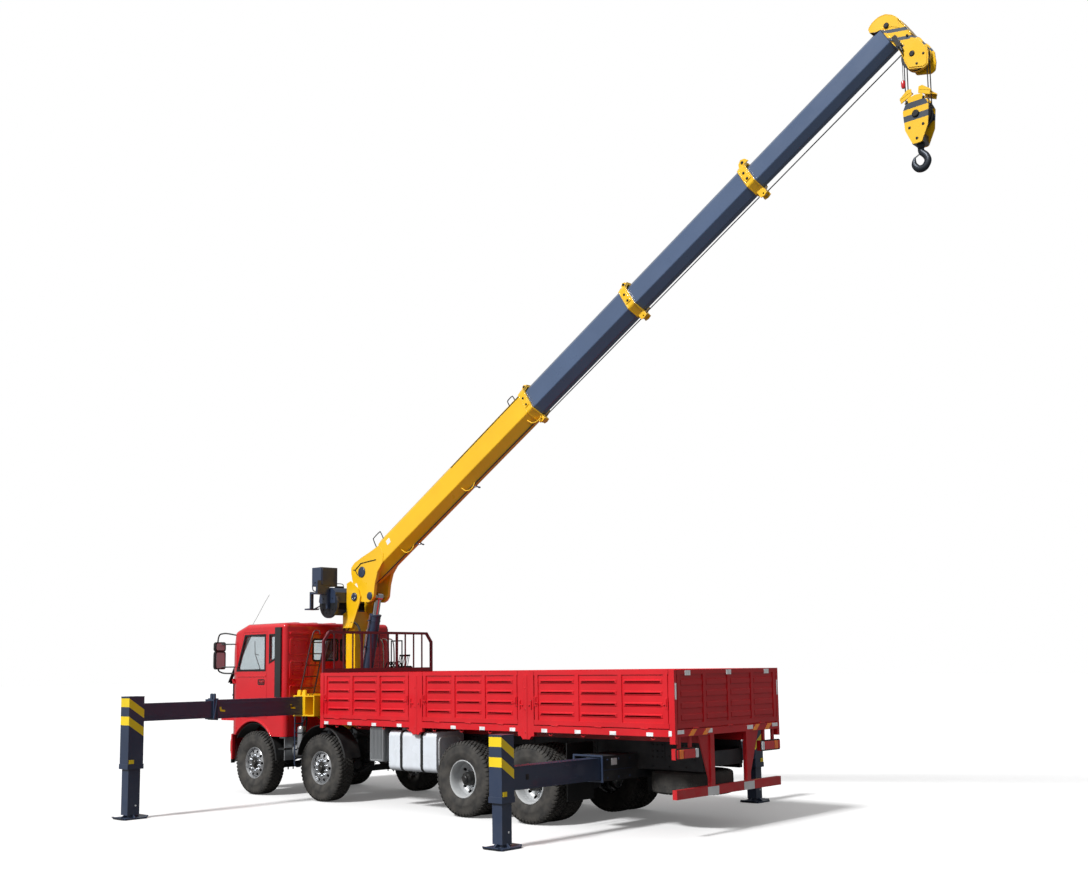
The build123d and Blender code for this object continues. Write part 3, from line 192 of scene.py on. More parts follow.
class Graph:
    """Short forms for a material's nodes."""

    def __init__(self, name):
        self.material = bpy.data.materials.new(name)
        self.material.use_nodes = True
        self.tree = self.material.node_tree
        self.surface = self.tree.nodes["Principled BSDF"]
        coords = self.tree.nodes.new("ShaderNodeTexCoord")
        self.place = self.node("ShaderNodeVectorMath", {"operation": "SUBTRACT"},
                               coords.outputs["Object"], (AXLE_X, 0, 0))

    def node(self, kind, settings, *values, output=0):
        made = self.tree.nodes.new(kind)
        for key, value in settings.items():
            setattr(made, key, value)
        for slot, value in enumerate(values):
            if isinstance(value, bpy.types.NodeSocket):
                self.tree.links.new(value, made.inputs[slot])
            elif value is not None:
                made.inputs[slot].default_value = value
        return made.outputs[output]

    def math(self, operation, *values):
        return self.node("ShaderNodeMath", {"operation": operation}, *values)

    def noise(self, scale, detail=3.0, stretch=None):
        where = self.place
        if stretch:
            where = self.node("ShaderNodeVectorMath", {"operation": "MULTIPLY"}, where, stretch)
        made = self.tree.nodes.new("ShaderNodeTexNoise")
        made.inputs["Scale"].default_value = scale
        made.inputs["Detail"].default_value = detail
        self.tree.links.new(where, made.inputs["Vector"])
        return made.outputs["Fac"]

    def ramp(self, value, low, high, to_low=0.0, to_high=1.0):
        made = self.tree.nodes.new("ShaderNodeMapRange")
        for key, number in (("From Min", low), ("From Max", high), ("To Min", to_low), ("To Max", to_high)):
            made.inputs[key].default_value = number
        self.tree.links.new(value, made.inputs["Value"])
        return made.outputs[0]

    def mix(self, factor, first, second, blend="MIX"):
        made = self.tree.nodes.new("ShaderNodeMix")
        made.data_type = "RGBA"
        made.blend_type = blend
        for slot, value in ((0, factor), (6, first), (7, second)):
            if isinstance(value, bpy.types.NodeSocket):
                self.tree.links.new(value, made.inputs[slot])
            else:
                made.inputs[slot].default_value = value
        return made.outputs[2]

    def slab(self, direction, low, high):
        """1 where the station along direction lies between low and high."""
        along = self.node("ShaderNodeVectorMath", {"operation": "DOT_PRODUCT"}, self.place, direction, output=1)
        return self.math("MULTIPLY", self.math("GREATER_THAN", along, low), self.math("LESS_THAN", along, high))

    def zone(self, slabs):
        """1 where every slab holds."""
        mask = self.slab(*slabs[0])
        for item in slabs[1:]:
            mask = self.math("MULTIPLY", mask, self.slab(*item))
        return mask

    def edges(self, radius):
        """1 along sharp edges."""
        round_normal = self.tree.nodes.new("ShaderNodeBevel")
        round_normal.samples = 3
        round_normal.inputs["Radius"].default_value = radius
        flat = self.tree.nodes.new("ShaderNodeNewGeometry")
        turn = self.node("ShaderNodeVectorMath", {"operation": "DOT_PRODUCT"}, round_normal.outputs[0],
                         flat.outputs["Normal"], output=1)
        return self.ramp(turn, 0.985, 0.80)

    def link(self, value, name):
        self.tree.links.new(value, self.surface.inputs[name])


def paint(name, code, rough=0.4, metal=0.0, coat=0.0, shade=0.10, grain=1.5, relief=0.1, relief_scale=90.0,
          worn=None, dust=0.0, zones=()):
    """A surface whose colour, gloss and relief vary. zones are (colour code, slabs), worn is (code, radius)."""
    graph = Graph(name)
    base = linear(code)
    colour = base
    for zone_code, slabs in zones:
        colour = graph.mix(graph.zone(slabs), colour, linear(zone_code))
    cloud = graph.noise(grain, 4.0)
    tone = graph.ramp(cloud, 0.3, 0.7, 1.0 - shade, 1.0 + shade / 2)
    grey = graph.node("ShaderNodeCombineColor", {}, tone, tone, tone)
    colour = graph.mix(1.0, colour, grey, "MULTIPLY")
    if dust:
        height = graph.node("ShaderNodeSeparateXYZ", {}, graph.place, output=2)
        low = graph.math("MULTIPLY", graph.ramp(height, 1.6, 0.1), graph.ramp(graph.noise(7.0, 6.0), 0.35, 0.75))
        colour = graph.mix(graph.math("MULTIPLY", low, dust), colour, linear("#8C857B"))
    if worn:
        scuff = graph.math("MULTIPLY", graph.edges(worn[1]), graph.ramp(graph.noise(9.0, 5.0), 0.42, 0.66))
        colour = graph.mix(graph.math("MULTIPLY", scuff, 0.7), colour, linear(worn[0]))
    graph.link(colour, "Base Color")
    graph.link(graph.ramp(graph.noise(grain * 2.3, 5.0), 0.3, 0.7, max(rough - 0.07, 0.02), rough + 0.08),
               "Roughness")
    graph.surface.inputs["Metallic"].default_value = metal
    graph.surface.inputs["Coat Weight"].default_value = coat
    graph.surface.inputs["Coat Roughness"].default_value = 0.08
    if relief:
        bump = graph.tree.nodes.new("ShaderNodeBump")
        bump.inputs["Strength"].default_value = relief
        bump.inputs["Distance"].default_value = 0.002
        graph.tree.links.new(graph.noise(relief_scale, 2.0), bump.inputs["Height"])
        graph.link(bump.outputs[0], "Normal")
    return graph.material


def glass(name, code, through=0.92, rough=0.02):
    graph = Graph(name)
    tone = graph.ramp(graph.noise(2.0), 0.3, 0.7, 0.94, 1.0)
    grey = graph.node("ShaderNodeCombineColor", {}, tone, tone, tone)
    graph.link(graph.mix(1.0, linear(code), grey, "MULTIPLY"), "Base Color")
    graph.surface.inputs["Roughness"].default_value = rough
    graph.surface.inputs["Transmission Weight"].default_value = through
    graph.surface.inputs["IOR"].default_value = 1.45
    return graph.material


def lens(name, code, glow=0.25):
    """A ribbed lamp lens or reflector."""
    graph = Graph(name)
    ribs = graph.ramp(graph.noise(14.0, 1.0, (1.0, 6.0, 1.0)), 0.3, 0.7, 0.75, 1.1)
    grey = graph.node("ShaderNodeCombineColor", {}, ribs, ribs, ribs)
    tinted = graph.mix(1.0, linear(code), grey, "MULTIPLY")
    graph.link(tinted, "Base Color")
    graph.link(tinted, "Emission Color")
    # on lamp lenses the emission is lamp light; on reflectors and tape it is a painted glow, as they are no lamps
    graph.surface.inputs["Emission Strength"].default_value = glow
    graph.surface.inputs["Roughness"].default_value = 0.12
    graph.surface.inputs["Coat Weight"].default_value = 1.0
    return graph.material


# Forms
class Form:
    """Closed solids gathered in one mesh."""

    def __init__(self):
        self.bm = bmesh.new()

    def skin(self, rings):
        """Joins rings of points in order, with flat ends."""
        rows = [[self.bm.verts.new(p) for p in ring] for ring in rings]
        count = len(rows[0])
        for a, b in zip(rows, rows[1:]):
            for i in range(count):
                j = (i + 1) % count
                self.bm.faces.new((a[i], a[j], b[j], b[i]))
        self.bm.faces.new(rows[0][::-1])
        self.bm.faces.new(rows[-1])
        return self

    def prism(self, axis, outline, low, high):
        """An outline in the two other axes, in order, pushed along an axis."""
        def place(p, t):
            return {"x": (t, p[0], p[1]), "y": (p[0], t, p[1]), "z": (p[0], p[1], t)}[axis]
        return self.skin([[place(p, t) for p in outline] for t in (low, high)])

    def box(self, x, y, z):
        return self.prism("z", [(x[0], y[0]), (x[1], y[0]), (x[1], y[1]), (x[0], y[1])], z[0], z[1])

    def lathe(self, profile, at, axis="y", steps=48):
        """A closed outline of (radius, along), turned about an axis through a point."""
        rows = []
        for k in range(steps):
            angle = 2 * math.pi * k / steps
            c, s = math.cos(angle), math.sin(angle)
            row = []
            for r, a in profile:
                p = {"x": (a, r * c, r * s), "y": (r * c, a, r * s), "z": (r * c, r * s, a)}[axis]
                row.append(self.bm.verts.new(Vector(at) + Vector(p)))
            rows.append(row)
        count = len(profile)
        for k in range(steps):
            a, b = rows[k], rows[(k + 1) % steps]
            for i in range(count):
                j = (i + 1) % count
                self.bm.faces.new((a[i], a[j], b[j], b[i]))
        return self

    def rod(self, start, end, radius, sides=12, tip=None):
        """A round bar, or with a tip radius a cone."""
        start, end = Vector(start), Vector(end)
        ahead = (end - start).normalized()
        aside = ahead.orthogonal().normalized()
        across = ahead.cross(aside)
        rings = []
        for where, r in ((start, radius), (end, radius if tip is None else tip)):
            rings.append([where + (aside * math.cos(t) + across * math.sin(t)) * r
                          for t in (2 * math.pi * k / sides for k in range(sides))])
        return self.skin(rings)

    def hexes(self, points, axis, radius, height):
        """Hexagon bolt heads with a washer under each."""
        push = Vector({"x": (1, 0, 0), "y": (0, 1, 0), "z": (0, 0, 1)}[axis])
        for p in points:
            self.rod(Vector(p), Vector(p) + push * height * 0.3, radius * 1.5, 12)
            self.rod(Vector(p), Vector(p) + push * height, radius, 6)
        return self

    def route(self, points, radius, sides=8):
        """A bar bent along points."""
        points = [Vector(p) for p in points]
        rings = []
        aside = None
        for i, p in enumerate(points):
            ahead = (points[min(i + 1, len(points) - 1)] - points[max(i - 1, 0)]).normalized()
            aside = ahead.orthogonal() if aside is None else aside - ahead * aside.dot(ahead)
            aside = aside.normalized()
            across = ahead.cross(aside)
            rings.append([p + (aside * math.cos(t) + across * math.sin(t)) * radius
                          for t in (2 * math.pi * k / sides for k in range(sides))])
        return self.skin(rings)


def make(name, form, surface, body, slot, bevel=0.004, steps=2, angle=32, shift=AXLE_X, hides=()):
    """Turns a form into a piece that rides on a body."""
    bm = form.bm
    bmesh.ops.remove_doubles(bm, verts=bm.verts, dist=1e-5)
    bmesh.ops.recalc_face_normals(bm, faces=bm.faces)
    bmesh.ops.translate(bm, verts=bm.verts, vec=(shift, 0, 0))
    mesh = bpy.data.meshes.new(name)
    bm.to_mesh(mesh)
    bm.free()
    return place(name, mesh, surface, body, slot, bevel, steps, angle, hides)


def place(name, mesh, surface, body, slot, bevel=0.0, steps=2, angle=32, hides=(), matrix=None):
    if not mesh.materials:
        mesh.materials.append(surface)
    mesh.polygons.foreach_set("use_smooth", [True] * len(mesh.polygons))
    piece = bpy.data.objects.new(name, mesh)
    bpy.context.scene.collection.objects.link(piece)
    if matrix:
        piece.matrix_world = matrix
    if bevel:
        edge = piece.modifiers.new("edge", "BEVEL")
        edge.width = bevel
        edge.segments = steps
        edge.limit_method = "ANGLE"
        edge.angle_limit = math.radians(angle)
        edge.harden_normals = True
        edge.use_clamp_overlap = True
    else:
        mesh.set_sharp_from_angle(angle=math.radians(angle))
    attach(piece, body)
    for node in hides:
        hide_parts(node)
    return piece


def arc(centre_point, radius, start, end, steps):
    """Points on an arc in a plane, angles in degrees."""
    return [(centre_point[0] + radius * math.cos(math.radians(start + (end - start) * k / steps)),
             centre_point[1] + radius * math.sin(math.radians(start + (end - start) * k / steps)))
            for k in range(steps + 1)]


def rounded(x0, x1, z0, z1, radius, steps=4):
    """A rectangle with round corners."""
    r = radius
    return (arc((x1 - r, z0 + r), r, -90, 0, steps) + arc((x1 - r, z1 - r), r, 0, 90, steps)
            + arc((x0 + r, z1 - r), r, 90, 180, steps) + arc((x0 + r, z0 + r), r, 180, 270, steps))


def smooth(points, steps=6):
    """Points on a soft line through the given ones."""
    points = [Vector(p) for p in points]
    ends = [points[0] * 2 - points[1]] + points + [points[-1] * 2 - points[-2]]
    line = []
    for a, b, c, d in zip(ends, ends[1:], ends[2:], ends[3:]):
        for k in range(steps):
            t = k / steps
            line.append(0.5 * ((2 * b) + (c - a) * t + (2 * a - 5 * b + 4 * c - d) * t * t
                               + (3 * b - a - 3 * c + d) * t ** 3))
    line.append(points[-1])
    return line


def dress(node, surface):
    """Gives a CAD node its finish."""
    obj = nodes[node]
    for entry in obj.material_slots:
        entry.material = surface


# Wheels
TYRE_R = 0.5625
TYRE_HALF = 0.1575
RIM_R = 0.262
TREAD_DEPTH = 0.017
PITCHES = 52


def tyre_mesh():
    """One tyre about the origin, its axle along Y."""
    form = Form()
    base = TYRE_R - TREAD_DEPTH
    side = [(RIM_R + 0.002, 0.112), (RIM_R + 0.016, 0.118), (RIM_R + 0.030, 0.128), (0.330, 0.146), (0.372, 0.1535),
            (0.385, 0.1565), (0.402, 0.1565), (0.412, 0.1535), (0.455, 0.1545), (0.490, 0.150), (0.520, 0.142),
            (0.536, 0.130), (base, 0.112), (base + 0.002, 0.05)]
    profile = side + [(r, -w) for r, w in reversed(side)]
    form.lathe(profile, (0, 0, 0), "y", 104)
    pitch = 2 * math.pi / PITCHES
    rows = ((0.078, 0.122, 0.0, 0.30), (0.026, 0.066, 0.5, 0.16), (-0.016, 0.016, 0.0, -0.12),
            (-0.066, -0.026, 0.5, -0.16), (-0.122, -0.078, 0.0, -0.30))
    for k in range(PITCHES):
        for low, high, offset, skew in rows:
            a0 = (k + offset) * pitch
            a1 = a0 + pitch * (0.60 if abs(low + high) > 0.01 else 0.66)
            rings = []
            for r, tight in ((base - 0.004, 0.0), (TYRE_R - 0.002, 0.06), (TYRE_R, 0.14)):
                ring = []
                for y, t in ((low, 0), (high, 0), (high, 1), (low, 1)):
                    lean = skew * pitch * (y - (low + high) / 2) / 0.044
                    middle = (a0 + a1) / 2
                    a = (a0 if t == 0 else a1) + lean
                    a = middle + lean + (a - middle - lean) * (1 - tight)
                    y = (low + high) / 2 + (y - (low + high) / 2) * (1 - tight)
                    crown = r - 0.10 * (y / TYRE_HALF) ** 2 * 0.06
                    ring.append((crown * math.cos(a), y, crown * math.sin(a)))
                rings.append(ring)
            form.skin(rings)
        # shoulder lugs run down the sidewall
        for sign in (-1, 1):
            a0 = k * pitch + sign * 0.25 * pitch
            a1 = a0 + pitch * 0.58
            rings = []
            for a in (a0, (a0 + a1) / 2, a1):
                rings.append([(r * math.cos(a), sign * y, r * math.sin(a))
                              for r, y in ((0.5560, 0.112), (0.5535, 0.130), (0.5400, 0.1445), (0.508, 0.1535),
                                           (0.503, 0.1440), (0.530, 0.128))])
            form.skin(rings)
    bm = form.bm
    bmesh.ops.remove_doubles(bm, verts=bm.verts, dist=1e-5)
    bmesh.ops.recalc_face_normals(bm, faces=bm.faces)
    mesh = bpy.data.meshes.new("tyre")
    bm.to_mesh(mesh)
    bm.free()
    return mesh


def holes(piece, cutters):
    """Cuts round holes through a piece, each given as two points and a radius."""
    tool = Form()
    for start, end, radius in cutters:
        tool.rod(start, end, radius, 20)
    bmesh.ops.recalc_face_normals(tool.bm, faces=tool.bm.faces)
    mesh = bpy.data.meshes.new("cutter")
    tool.bm.to_mesh(mesh)
    tool.bm.free()
    cutter = bpy.data.objects.new("cutter", mesh)
    bpy.context.scene.collection.objects.link(cutter)
    cut = piece.modifiers.new("holes", "BOOLEAN")
    cut.operation = "DIFFERENCE"
    cut.solver = "EXACT"
    cut.object = cutter
    graph = bpy.context.evaluated_depsgraph_get()
    result = bpy.data.meshes.new_from_object(piece.evaluated_get(graph))
    piece.modifiers.clear()
    piece.data = result
    bpy.data.objects.remove(cutter)
    return result


def mesh_of(name, form):
    bm = form.bm
    bmesh.ops.remove_doubles(bm, verts=bm.verts, dist=1e-5)
    bmesh.ops.recalc_face_normals(bm, faces=bm.faces)
    mesh = bpy.data.meshes.new(name)
    bm.to_mesh(mesh)
    bm.free()
    return mesh


def drilled(name, form, cutters):
    """The mesh of a form with round holes cut through it."""
    piece = bpy.data.objects.new(name, mesh_of(name, form))
    bpy.context.scene.collection.objects.link(piece)
    bpy.context.view_layer.update()
    result = holes(piece, cutters)
    bpy.data.objects.remove(piece)
    return result


def ring_points(radius, y, count, start=0.0):
    return [(radius * math.cos(start + 2 * math.pi * k / count), y, radius * math.sin(start + 2 * math.pi * k / count))
            for k in range(count)]


def front_rim():
    """A single wheel's rim with its bulged disc outward along +Y."""
    form = Form()
    form.lathe([(RIM_R + 0.014, 0.126), (RIM_R + 0.020, 0.120), (RIM_R + 0.004, 0.112), (RIM_R + 0.001, 0.085),
                (RIM_R + 0.001, -0.112), (RIM_R + 0.016, -0.126), (RIM_R + 0.004, -0.124), (RIM_R - 0.010, -0.100),
                (RIM_R - 0.012, 0.045), (RIM_R - 0.012, 0.100), (RIM_R + 0.004, 0.124)], (0, 0, 0), "y", 72)
    disc = Form()
    disc.lathe([(RIM_R - 0.010, 0.070), (0.236, 0.092), (0.212, 0.106), (0.180, 0.112), (0.158, 0.112),
                (0.150, 0.104), (0.102, 0.104), (0.102, 0.086), (0.150, 0.090), (0.180, 0.098), (0.206, 0.093),
                (0.228, 0.080), (RIM_R - 0.010, 0.052)], (0, 0, 0), "y", 72)
    cutters = [((x, -0.1, z), (x, 0.3, z), 0.026) for x, _, z in ring_points(0.205, 0, 10)]
    return mesh_of("front_rim", form), drilled("front_disc", disc, cutters)


def hub_mesh(reach, flange):
    """A dark hub with its cap, and its studs on the flange."""
    form = Form()
    form.lathe([(0, reach), (0.040, reach), (0.052, reach - 0.010), (0.056, reach - 0.035), (0.090, reach - 0.045),
                (0.100, reach - 0.060), (0.104, flange - 0.004), (0.104, flange - 0.10), (0, flange - 0.10)],
               (0, 0, 0), "y", 40)
    form.hexes([(x, reach - 0.045, z) for x, _, z in ring_points(0.072, 0, 8, 0.2)], "y", 0.009, 0.010)
    return mesh_of("hub", form)


def studs_mesh(radius, flange, count=10, size=0.015, height=0.032):
    form = Form()
    form.hexes(ring_points(radius, flange, count, 0.31), "y", size, height)
    for x, y, z in ring_points(radius, flange, count, 0.31):
        form.rod((x, y, z), (x, y + height + 0.012, z), size * 0.55, 10)
    return mesh_of("studs", form)


def rear_rim():
    """A twin wheel's rim with its deep dished disc, open outward along +Y."""
    form = Form()
    form.lathe([(RIM_R + 0.016, 0.130), (RIM_R + 0.022, 0.122), (RIM_R + 0.004, 0.112), (RIM_R + 0.001, 0.085),
                (RIM_R + 0.001, -0.112), (RIM_R + 0.016, -0.126), (RIM_R + 0.004, -0.124), (RIM_R - 0.012, -0.100),
                (RIM_R - 0.016, 0.040), (RIM_R - 0.010, 0.104), (RIM_R + 0.006, 0.128)], (0, 0, 0), "y", 72)
    disc = Form()
    disc.lathe([(RIM_R - 0.010, -0.012), (0.236, -0.060), (0.206, -0.088), (0.170, -0.098), (0.104, -0.098),
                (0.104, -0.114), (0.170, -0.114), (0.212, -0.102), (RIM_R - 0.010, -0.040)], (0, 0, 0), "y", 72)
    cutters = [((x, -0.3, z), (x, 0.2, z), 0.026) for x, _, z in ring_points(0.207, 0, 10)]
    return mesh_of("rear_rim", form), drilled("rear_disc", disc, cutters)


def build_wheels(look):
    tyre = tyre_mesh()
    tyre.materials.append(look["tyre"])
    rim, disc = front_rim()
    twin_rim, twin_disc = rear_rim()
    front_hub, front_studs = hub_mesh(0.150, 0.104), studs_mesh(0.1325, 0.104)
    rear_hub, rear_studs = hub_mesh(0.105, -0.060), studs_mesh(0.1325, -0.098)
    for number, x in enumerate(AXLES, 1):
        for name, side in SIDES:
            body = f"wheel_{number}_{name}"
            turn = Matrix.Rotation(math.pi if side < 0 else 0, 4, "Z")
            middle = side * (SINGLE_Y if number < 3 else TWIN_Y)

            def put(part, mesh, surface, slot, offset=0.0, bevel=0.0, hides=()):
                where = Matrix.Translation((x + AXLE_X, middle + side * offset, HUB_Z))
                return place(f"{part}_{number}_{name}", mesh, surface, body, slot, bevel, matrix=where @ turn,
                             hides=hides)

            if number < 3:
                put("tyre", tyre, look["tyre"], "tyre_rubber", hides=(body,))
                put("rim", rim, look["chrome_rim"], "silver_metal")
                put("disc", disc, look["chrome_rim"], "silver_metal")
                put("hub", front_hub, look["hub"], "black_frame")
                put("nuts", front_studs, look["bright"], "silver_metal")
                continue
            outer = 0.175
            put("tyre_outer", tyre, look["tyre"], "tyre_rubber", outer, hides=(body,))
            put("tyre_inner", tyre, look["tyre"], "tyre_rubber", -outer)
            put("rim_outer", twin_rim, look["grey_rim"], "silver_metal", outer)
            put("disc_outer", twin_disc, look["grey_rim"], "silver_metal", outer)
            put("rim_inner", rim, look["grey_rim"], "silver_metal", -outer)
            put("hub", rear_hub, look["hub"], "black_frame", outer)
            put("nuts", rear_studs, look["bright"], "silver_metal", outer)
    spare = centre("spare_wheel")
    low = span("spare_wheel", 2)[0]
    flat = Matrix.Translation((spare.x, spare.y, low + TYRE_HALF)) @ Matrix.Rotation(math.pi / 2, 4, "X")
    place("spare_tyre", tyre, look["tyre"], "chassis", "tyre_rubber", matrix=flat)
    place("spare_rim", rim, look["grey_rim"], "chassis", "silver_metal", matrix=flat)
    place("spare_disc", disc, look["grey_rim"], "chassis", "silver_metal", matrix=flat)


def pipe(name, points, radius, surface, body, slot, sides=10):
    """A hose or pipe through the given points."""
    form = Form()
    form.route(smooth(points, 7), radius, sides)
    return make(name, form, surface, body, slot, 0.0)




# Cab
CAB_HALF = 1.20
CAB_REAR = -0.93
CAB_NOSE = 1.11
CAB_ROOF = 3.05
CORNER = ((0.56, 1.20), (0.94, 0.96), (1.11, 0.48))
SCREEN_FOOT = (1.03, 1.96)
SCREEN_HEAD = (0.56, 2.95)
REAR_PANES = ((0.04, 0.58), (2.38, 2.75))


def circle_through(a, b, c):
    """Centre and radius of the circle through three points."""
    (ax, ay), (bx, by), (cx, cy) = a, b, c
    d = 2 * (ax * (by - cy) + bx * (cy - ay) + cx * (ay - by))
    ux = ((ax ** 2 + ay ** 2) * (by - cy) + (bx ** 2 + by ** 2) * (cy - ay) + (cx ** 2 + cy ** 2) * (ay - by)) / d
    uy = ((ax ** 2 + ay ** 2) * (cx - bx) + (bx ** 2 + by ** 2) * (ax - cx) + (cx ** 2 + cy ** 2) * (bx - ax)) / d
    return (ux, uy), math.hypot(ax - ux, ay - uy)


def wrapped(form, plan, start, end, low, high, side, inner=-0.004, outer=0.014, steps=10):
    """A plate wrapped round a plan arc, from angle start to end and from z low to high."""
    (cx, cy), radius = plan
    rings = []
    for k in range(steps + 1):
        angle = math.radians(start + (end - start) * k / steps)
        t = k / steps
        z0 = low if not isinstance(low, tuple) else low[0] + (low[1] - low[0]) * t
        z1 = high if not isinstance(high, tuple) else high[0] + (high[1] - high[0]) * t
        ring = []
        for r, z in ((radius + inner, z0), (radius + outer, z0), (radius + outer, z1), (radius + inner, z1)):
            ring.append((cx + r * math.cos(angle), side * (cy + r * math.sin(angle)), z))
        rings.append(ring)
    return form.skin(rings)


def frame_bar(form, axis, face, outline_outer, outline_inner, depth):
    """A flat ring between two outlines with the same number of points, raised from a face."""
    def place_point(p, t):
        return {"x": (t, p[0], p[1]), "y": (p[0], t, p[1]), "z": (p[0], p[1], t)}[axis]
    bm = form.bm
    rows = []
    for outline, t in ((outline_outer, face), (outline_outer, face + depth), (outline_inner, face + depth),
                       (outline_inner, face)):
        rows.append([bm.verts.new(place_point(p, t)) for p in outline])
    count = len(rows[0])
    for k in range(4):
        a, b = rows[k], rows[(k + 1) % 4]
        for i in range(count):
            j = (i + 1) % count
            bm.faces.new((a[i], a[j], b[j], b[i]))
    return form


def screen_x(z):
    """Station of the windscreen plane at a height."""
    t = (z - SCREEN_FOOT[1]) / (SCREEN_HEAD[1] - SCREEN_FOOT[1])
    return SCREEN_FOOT[0] + (SCREEN_HEAD[0] - SCREEN_FOOT[0]) * t


def build_cab(look):
    plan = circle_through(*CORNER)
    roof = Form()
    for y in (-0.82, -0.42, 0.0, 0.42, 0.82):
        roof.prism("y", [(-0.80, CAB_ROOF - 0.002), (-0.76, CAB_ROOF + 0.016), (0.10, CAB_ROOF + 0.016),
                         (0.16, CAB_ROOF - 0.002)], y - 0.05, y + 0.05)
    make("cab_roof_ribs", roof, look["red"], "chassis", "red_paint", 0.008, 3)

    back = Form()
    back.box((CAB_REAR - 0.028, CAB_REAR + 0.002), (-1.10, 1.10), (2.845, 2.885))
    for side in (-1, 1):
        for y0, y1, z0, z1 in ((0.66, 1.10, 2.47, 2.78), (0.66, 1.10, 2.04, 2.38), (0.08, 1.10, 1.62, 1.95)):
            outer = rounded(y0, y1, z0, z1, 0.05)
            inner = rounded(y0 + 0.035, y1 - 0.035, z0 + 0.035, z1 - 0.035, 0.025)
            frame_bar(back, "x", CAB_REAR + 0.002, [(side * y, z) for y, z in outer],
                      [(side * y, z) for y, z in inner], -0.020)
        for z in (2.14, 2.21, 2.28):
            back.box((CAB_REAR - 0.012, CAB_REAR + 0.002), sorted((side * 0.74, side * 1.02)), (z - 0.012, z + 0.012))
    make("cab_back_pressings", back, look["red"], "chassis", "red_paint", 0.006, 3)

    rubber = Form()
    (y0, y1), (z0, z1) = REAR_PANES
    for side in (-1, 1):
        outer = [(side * y, z) for y, z in rounded(y0 - 0.022, y1 + 0.022, z0 - 0.022, z1 + 0.022, 0.05)]
        inner = [(side * y, z) for y, z in rounded(y0 + 0.010, y1 - 0.010, z0 + 0.010, z1 - 0.010, 0.03)]
        frame_bar(rubber, "x", CAB_REAR + 0.004, outer, inner, -0.014)
        quarter_outer = [(-0.668, 2.398), (-0.462, 2.328), (-0.462, 2.858), (-0.668, 2.858)]
        quarter_inner = [(-0.636, 2.426), (-0.494, 2.376), (-0.494, 2.828), (-0.636, 2.828)]
        frame_bar(rubber, "y", side * (CAB_HALF - 0.004), quarter_outer, quarter_inner, side * 0.012)
    make("cab_window_rubbers", rubber, look["rubber"], "chassis", "black_plastic", 0.004)

    # windscreen surround, wipers and visor
    band = Form()
    for side in (-1, 1):
        rings = []
        for k in range(7):
            t = k / 6
            z = 1.99 + (2.90 - 1.99) * t
            y = 1.02 - 0.12 * t
            x = screen_x(z) + 0.006
            rings.append([(x - 0.012, side * (y - 0.012), z), (x + 0.006, side * (y - 0.012), z),
                          (x - 0.020, side * (y + 0.075), z), (x - 0.045, side * (y + 0.070), z)])
        band.skin(rings)
    for z, h, half in ((2.015, 0.05, 1.03), (2.885, 0.045, 0.93)):
        band.skin([[(screen_x(z - h) - 0.01, y, z - h), (screen_x(z - h) + 0.012, y, z - h),
                    (screen_x(z + h) + 0.012, y, z + h), (screen_x(z + h) - 0.01, y, z + h)]
                   for y in (-half, half)])
    make("windscreen_surround", band, look["black"], "chassis", "black_plastic", 0.004)
    wipers = Form()
    for y in (-0.62, 0.28):
        foot = Vector((screen_x(2.03) + 0.030, y, 2.03))
        tip = Vector((screen_x(2.52) + 0.028, y + 0.36, 2.52))
        wipers.rod(foot, tip, 0.009, 8)
        wipers.rod(foot - Vector((0.02, 0, 0)), foot + Vector((0.02, 0, 0)), 0.026, 14)
        for k in (-1, 1):
            end = tip + Vector((0.010 if k < 0 else -0.13, 0.10 * k, -0.02 if k < 0 else 0.27)) * 0.9
            wipers.rod(tip, end, 0.006, 8)
    make("wipers", wipers, look["black"], "chassis", "black_plastic", 0.0)
    visor = Form()
    rings = []
    for k in range(13):
        y = -0.98 + 1.96 * k / 12
        bulge = 0.10 * (1 - (y / 0.98) ** 2)
        rings.append([(0.56 + bulge, y, 2.965), (0.74 + bulge, y, 2.875), (0.745 + bulge, y, 2.868),
                      (0.56 + bulge, y, 2.950)])
    visor.skin(rings)
    for y in (-0.80, 0.80):
        visor.rod((0.50, y, 2.99), (0.62, y, 2.94), 0.012, 8)
    make("sun_visor", visor, look["smoke"], "chassis", "window_glass", 0.002)

    # nose: grille, corner deflectors, lamps
    grille = Form()
    frame_bar(grille, "x", CAB_NOSE - 0.004, rounded(-0.50, 0.50, 1.16, 1.80, 0.09),
              rounded(-0.46, 0.46, 1.20, 1.76, 0.06), 0.024)
    for k in range(7):
        z = 1.235 + 0.082 * k
        grille.prism("y", [(CAB_NOSE - 0.002, z - 0.018), (CAB_NOSE + 0.020, z - 0.026), (CAB_NOSE + 0.024, z - 0.012),
                           (CAB_NOSE - 0.002, z + 0.022)], -0.468, 0.468)
    make("grille", grille, look["black"], "chassis", "black_plastic", 0.003)
    shine = Form()
    for z in (1.276, 1.522):
        shine.prism("y", [(CAB_NOSE + 0.018, z - 0.008), (CAB_NOSE + 0.027, z - 0.005), (CAB_NOSE + 0.027, z + 0.005),
                          (CAB_NOSE + 0.018, z + 0.008)], -0.42, 0.42)
    make("grille_strips", shine, look["bright"], "chassis", "silver_metal", 0.002)
    deflector = Form()
    for side in (-1, 1):
        wrapped(deflector, plan, 30, 62, 1.34, (1.80, 2.02), side, outer=0.020)
        for z in (1.45, 1.60, 1.75):
            wrapped(deflector, plan, 33, 59, z, z + 0.03, side, inner=0.012, outer=0.030)
    make("corner_deflectors", deflector, look["black"], "chassis", "black_plastic", 0.005)
    bumper = circle_through((0.76, 1.16), (1.038, 0.88), (1.14, 0.50))
    lamp_frame, lamp, blinker = Form(), Form(), Form()
    for side in (-1, 1):
        wrapped(lamp_frame, bumper, 6, 58, 0.70, 0.96, side, inner=-0.006, outer=0.006)
        wrapped(lamp, bumper, 10, 40, 0.735, 0.925, side, inner=0.004, outer=0.014)
